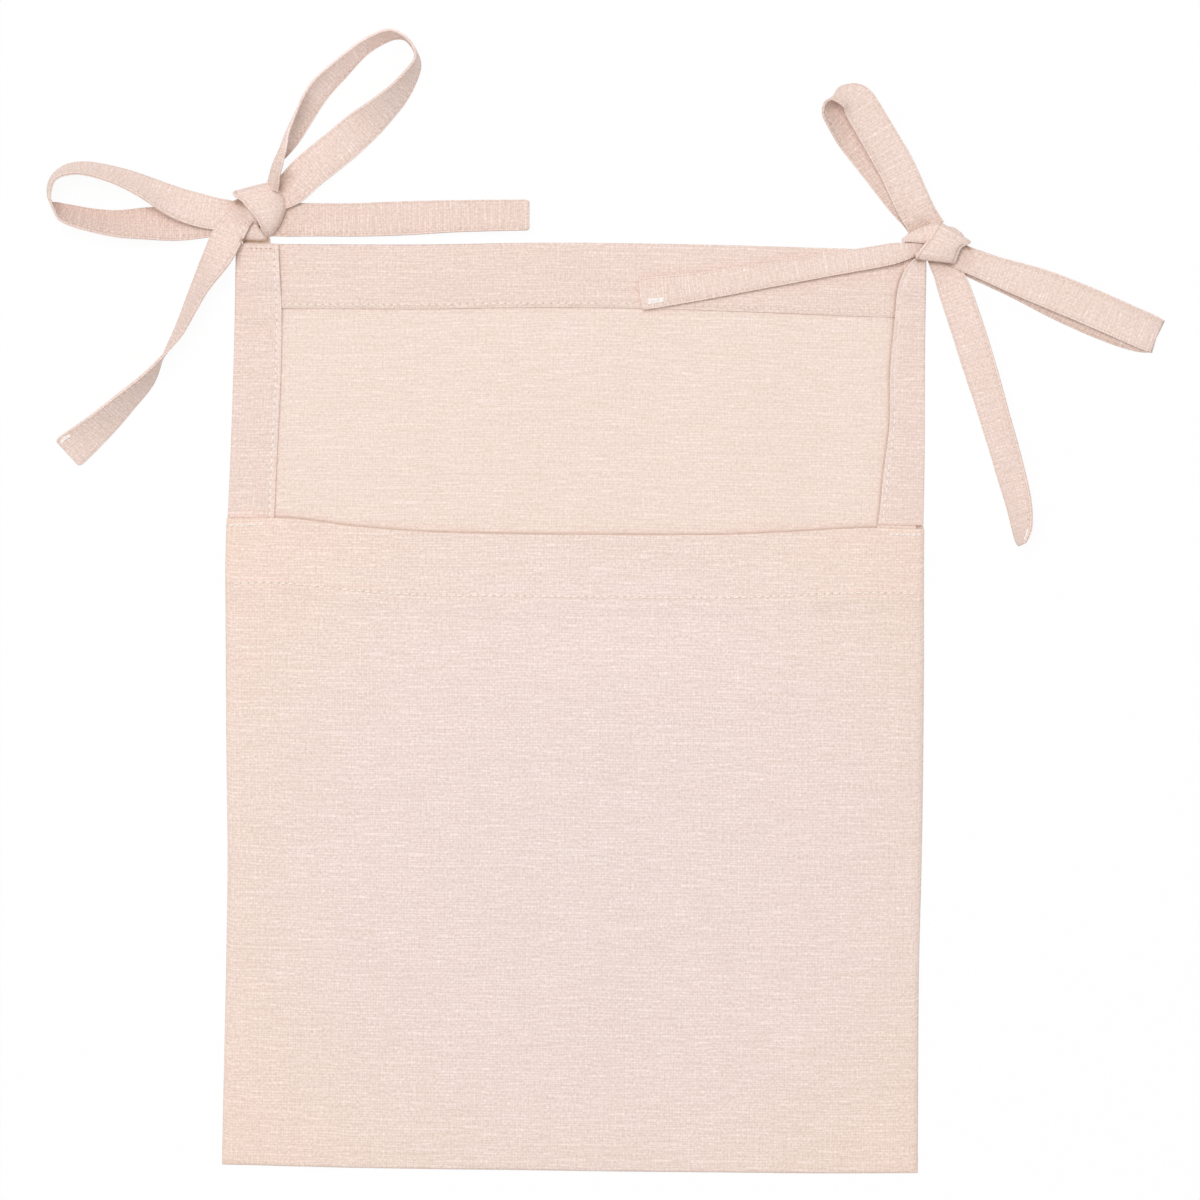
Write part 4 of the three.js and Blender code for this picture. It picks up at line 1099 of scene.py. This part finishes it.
root_piece("left_tie_root", 9.0 - HALF_W, 12.4, [
    (-2, -13.1, 1.9, 0, 0, 0.98), (-2.9, -11.9, 2.2, 0, 0, 0.83), (-3.8, -9.8, 2.4, 0, 0, 0.66),
    (-4.2, -6.4, 2.1, 0, 0, 0.53), (-4.4, -3, 1.6, 0, 0, 0.46),
])
root_piece("right_tie_root", HALF_W - 5.8, 8.0, [
    (-14.4, 0.2, 1.4, -10, 0), (-11, 3, 1.4, -55, 0), (-5, 2, 1.4, -105, 0),
])

# Knots

KNOT_TURN = 52.0
BAND_RIM = np.array([0, 1.2, 1.32, 1.44, 1.56, 1.7, 2.0])


def wrap(rows, left_rim=0.0, right_rim=0.0, crest_at=0.38):
    """A band of tape over a knot: each row gives its left edge, its right edge and its crest's height; a rim
    above zero is an edge whose doubled fold stands up as a bead, and how much painted shade lies in the
    groove inside it"""
    fine = through(rows, 5)
    left, right, crest = fine[:, None, 0:3], fine[:, None, 3:6], fine[:, None, 6]
    width = np.linalg.norm(right - left, axis=-1)
    near = BAND_RIM * np.minimum(1, width / 7) / width
    middle = near[:, -1:] + (1 - 2 * near[:, -1:]) * np.linspace(0, 1, 16)[1:-1]
    s = np.concatenate([near, middle, 1 - near[:, ::-1]], axis=1)
    before = left[..., 2] + (crest - left[..., 2]) * (1 - ((crest_at - s) / crest_at) ** 2)
    over = np.clip((s - crest_at) / (1 - crest_at), 0, 1)
    after = right[..., 2] + (crest - right[..., 2]) * np.sqrt(1 - over**2.6)
    z = np.where(s < crest_at, before, after)
    edge, painted_shading = np.full(s.shape, FAR), np.zeros(s.shape)
    for rim, share in ((left_rim, s), (right_rim, 1 - s)):
        if rim > 0:
            inward = share * width
            z = z + 0.3 * (1 - ease((inward - 1.15) / 0.3)) - 0.2 * bell(inward - 1.5, 0.2)
            edge = np.minimum(edge, inward - 0.5)
            painted_shading = painted_shading + rim * bell(inward - 1.45, 0.26)
    P = np.concatenate([left[..., :2] + (right - left)[..., :2] * s[..., None], z[..., None]], -1)
    run = lengths(P[:, s.shape[1] // 2])
    u = (s - 0.5) * np.maximum(width, 6)
    weave = with_seam(np.stack([u, np.broadcast_to(run[:, None], u.shape)], -1), edge=edge, painted_shading=painted_shading)
    return shell(*rounded(P, np.full(u.shape, TAPE_T / 2), weave, "lrbt"))


def lump(x, y, radii, turn, seed):
    """What the band is wound round: a soft creased lump"""
    around, up = 48, 26
    a = np.linspace(0, 2 * math.pi, around, endpoint=False)[None, :]
    b = np.linspace(0.03, math.pi - 0.03, up)[:, None]
    r = 1 + 0.03 * np.sin(3 * a + seed) * np.sin(b) + 0.02 * np.sin(7 * a + 4 * b + seed)
    qx, qy = r * np.cos(a) * np.sin(b) * radii[0], r * np.sin(a) * np.sin(b) * radii[1]
    c, s = math.cos(math.radians(turn)), math.sin(math.radians(turn))
    corners = np.stack([x + qx * c - qy * s, y + qx * s + qy * c, radii[2] * (1 + r * np.cos(b))], -1)
    faces, caps = tube(up, around)
    weave = np.stack([np.broadcast_to(a * radii[0], r.shape), np.broadcast_to(b * radii[1], r.shape)], -1)
    # Painted shade from the spots round the knots
    weave = with_seam(weave, painted_shading=painted_spot_shading(corners[..., 0], corners[..., 1]))
    return corners.reshape(-1, 3), [np.roll(faces[:, ::-1], 1, 1), caps[:, ::-1]], weave.reshape(-1, 6)


def about(knot, rows):
    """Rows given from the knot's middle, moved to where the knot is"""
    return [[r[0] + knot[0], r[1] + knot[1], r[2], r[3] + knot[0], r[4] + knot[1], r[5], r[6]] for r in rows]


left_band = about(LEFT_KNOT, [
    (-9.6, 6.6, 1.2, 3.2, 9.6, 1, 1.6),
    (-11.2, 6.2, 4.1, 4.6, 10.4, 2.8, 5),
    (-10.8, 4.8, 8, 6.4, 9, 4.2, 8.8),
    (-9, 3.3, 9.4, 8.6, 7.2, 4.4, 10.3),
    (-7.1, 2, 9.9, 10, 5.4, 4.2, 10.9),
    (-5.4, 0, 10, 11, 2.2, 3.9, 11.1),
    (-3, -2.7, 9.8, 11.2, -0.7, 3.6, 11),
    (-1.3, -4.7, 9.4, 10.1, -4, 3.6, 10.5),
    (0.1, -7.2, 8.6, 8.9, -7, 3.4, 9.5),
    (1.2, -9.8, 6.8, 7.3, -9.4, 2.9, 7.5),
    (2.9, -12.1, 3.4, 5.7, -11.7, 1.9, 4.1),
    (3.4, -12.3, 1.2, 5.1, -11.9, 1, 1.6),
])
left_turns = lump(LEFT_KNOT[0] + 0.6, LEFT_KNOT[1] - 0.4, (8.8, 7.6, 3.9), -40, 1.0)
# A low lump under the band's tip, painted dark by the spot shading, stands for the shade seen in the slit
# between the root and the band
left_under = lump(LEFT_KNOT[0] + 0.6, LEFT_KNOT[1] - 7.4, (3.6, 5.6, 0.8), 25, 3.0)
left_knot = mesh_object("tape_left_knot", [wrap(left_band, left_rim=3.6), left_turns, left_under], TAPE)
right_band = [
    (157.4, 208, 1.2, 170, 199.8, 1, 1.8),
    (157.2, 209.2, 4, 171.2, 200.2, 4.4, 5.2),
    (156.8, 208.3, 7.1, 170.9, 199.8, 6.5, 8.5),
    (155.2, 205.4, 8.8, 168.9, 198.9, 7.2, 10.1),
    (153.5, 202.8, 9.5, 167.3, 198, 7.3, 10.8),
    (151.8, 200.2, 9.8, 166.2, 196.3, 7.1, 11),
    (149.8, 197.6, 9.8, 165.5, 194.5, 6.8, 10.8),
    (148.1, 195.5, 9.3, 165, 192.8, 6.2, 10.1),
    (147.3, 193.9, 8.1, 164.4, 191.6, 5.2, 8.7),
    (148.4, 193.2, 6.1, 163.4, 191.8, 3.7, 6.3),
]
right_under = [
    (141.8, 200.6, 6.4, 141.5, 201.1, 6.4, 6.6),
    (144.6, 200.4, 7.3, 143.2, 202.7, 6.7, 7.6),
    (147.4, 200.1, 7.7, 145.8, 204.5, 6.8, 8.3),
    (150.4, 199.8, 7.9, 149.2, 206.0, 6.7, 8.9),
    (154.0, 199.4, 8.0, 153.0, 207.6, 6.3, 8.9),
    (157.6, 199.0, 7.3, 157.0, 208.8, 5.4, 8.0),
]
right_turns = lump(RIGHT_KNOT[0] - 1.0, RIGHT_KNOT[1] - 0.6, (8.0, 6.8, 3.9), 20, 2.0)
right_parts = [wrap(right_band, left_rim=3.0, right_rim=1.2), wrap(right_under), right_turns]
right_knot = mesh_object("tape_right_knot", right_parts, TAPE)
for side, obj in (("left", left_knot), ("right", right_knot)):
    declare(obj, "tie_tape", (TAPE_W, KNOT_TURN), "folded", ["tape_" + side + "_tie_root"], side + "_knot")
    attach(obj, HOLDER)


# Floor, light and camera


# Shares of the plain light level, and the lamp's size and place in metres
DOME, LAMP = 0.505, 0.552
LAMP_SIZE, LAMP_PLACE = 1.75, (-0.55, 0.85, 3.4)
FLOOR_R, FLOOR_Z = 3.0, -0.0003
WHITE = (1, 1, 1, 1)


def floor_material():
    """Plain white to the light, and almost pure white where the camera sees it"""
    n = Nodes(bpy.data.materials.new("studio_floor"))
    n.fill(n.shader, {"Base Color": (0.94, 0.94, 0.94, 1), "Roughness": 0.9, "Specular IOR Level": 0.0})
    glow = n.new("Emission", {"Color": WHITE, "Strength": 1.0})
    share = n.mul(n.seen("Camera", "Glossy", "Transmission"), 0.95)
    mix = n.new("MixShader", {0: share, 1: n.shader.outputs[0], 2: glow.outputs[0]})
    n.fill(n.tree.nodes["Material Output"], {"Surface": mix.outputs[0]})
    return n.owner


floor_mesh = bpy.data.meshes.new("floor")
floor_corners = [(x * FLOOR_R, y * FLOOR_R, FLOOR_Z) for x, y in ((-1, -1), (1, -1), (1, 1), (-1, 1))]
floor_mesh.from_pydata(floor_corners, [], [(0, 1, 2, 3)])
floor_mesh.materials.append(floor_material())
in_scene("floor", floor_mesh)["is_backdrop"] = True

sky = Nodes(bpy.data.worlds.new("studio"))
strength = sky.total(DOME, (sky.seen("Camera", "Transmission"), 1 - DOME))
sky.fill(sky.tree.nodes["Background"], {"Color": WHITE, "Strength": strength})
bpy.context.scene.world = sky.owner


# A square soft box that aims at the panel
lamp_data = bpy.data.lights.new("soft_top", "AREA")
lamp_data.shape, lamp_data.size = "SQUARE", LAMP_SIZE
lamp = in_scene("soft_top", lamp_data)
lamp.location = LAMP_PLACE
aim = lamp.location - Vector((IMAGE_CENTRE[0] * MM, IMAGE_CENTRE[1] * MM, 0))
lamp.rotation_mode = "QUATERNION"
lamp.rotation_quaternion = aim.to_track_quat("Z", "Y")
lamp_data.energy = LAMP * math.pi**2 * aim.length**3 / aim.z

camera_data = bpy.data.cameras.new("camera")
camera_data.sensor_width = SENSOR_W
camera_data.lens = SENSOR_W * CAMERA_HEIGHT / IMAGE_SPAN
camera_data.clip_end = 20.0
camera = in_scene("camera", camera_data)
camera.location = (IMAGE_CENTRE[0] * MM, IMAGE_CENTRE[1] * MM, CAMERA_HEIGHT * MM)
bpy.context.scene.camera = camera
bpy.context.scene.view_settings.view_transform = "Standard"

low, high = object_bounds()
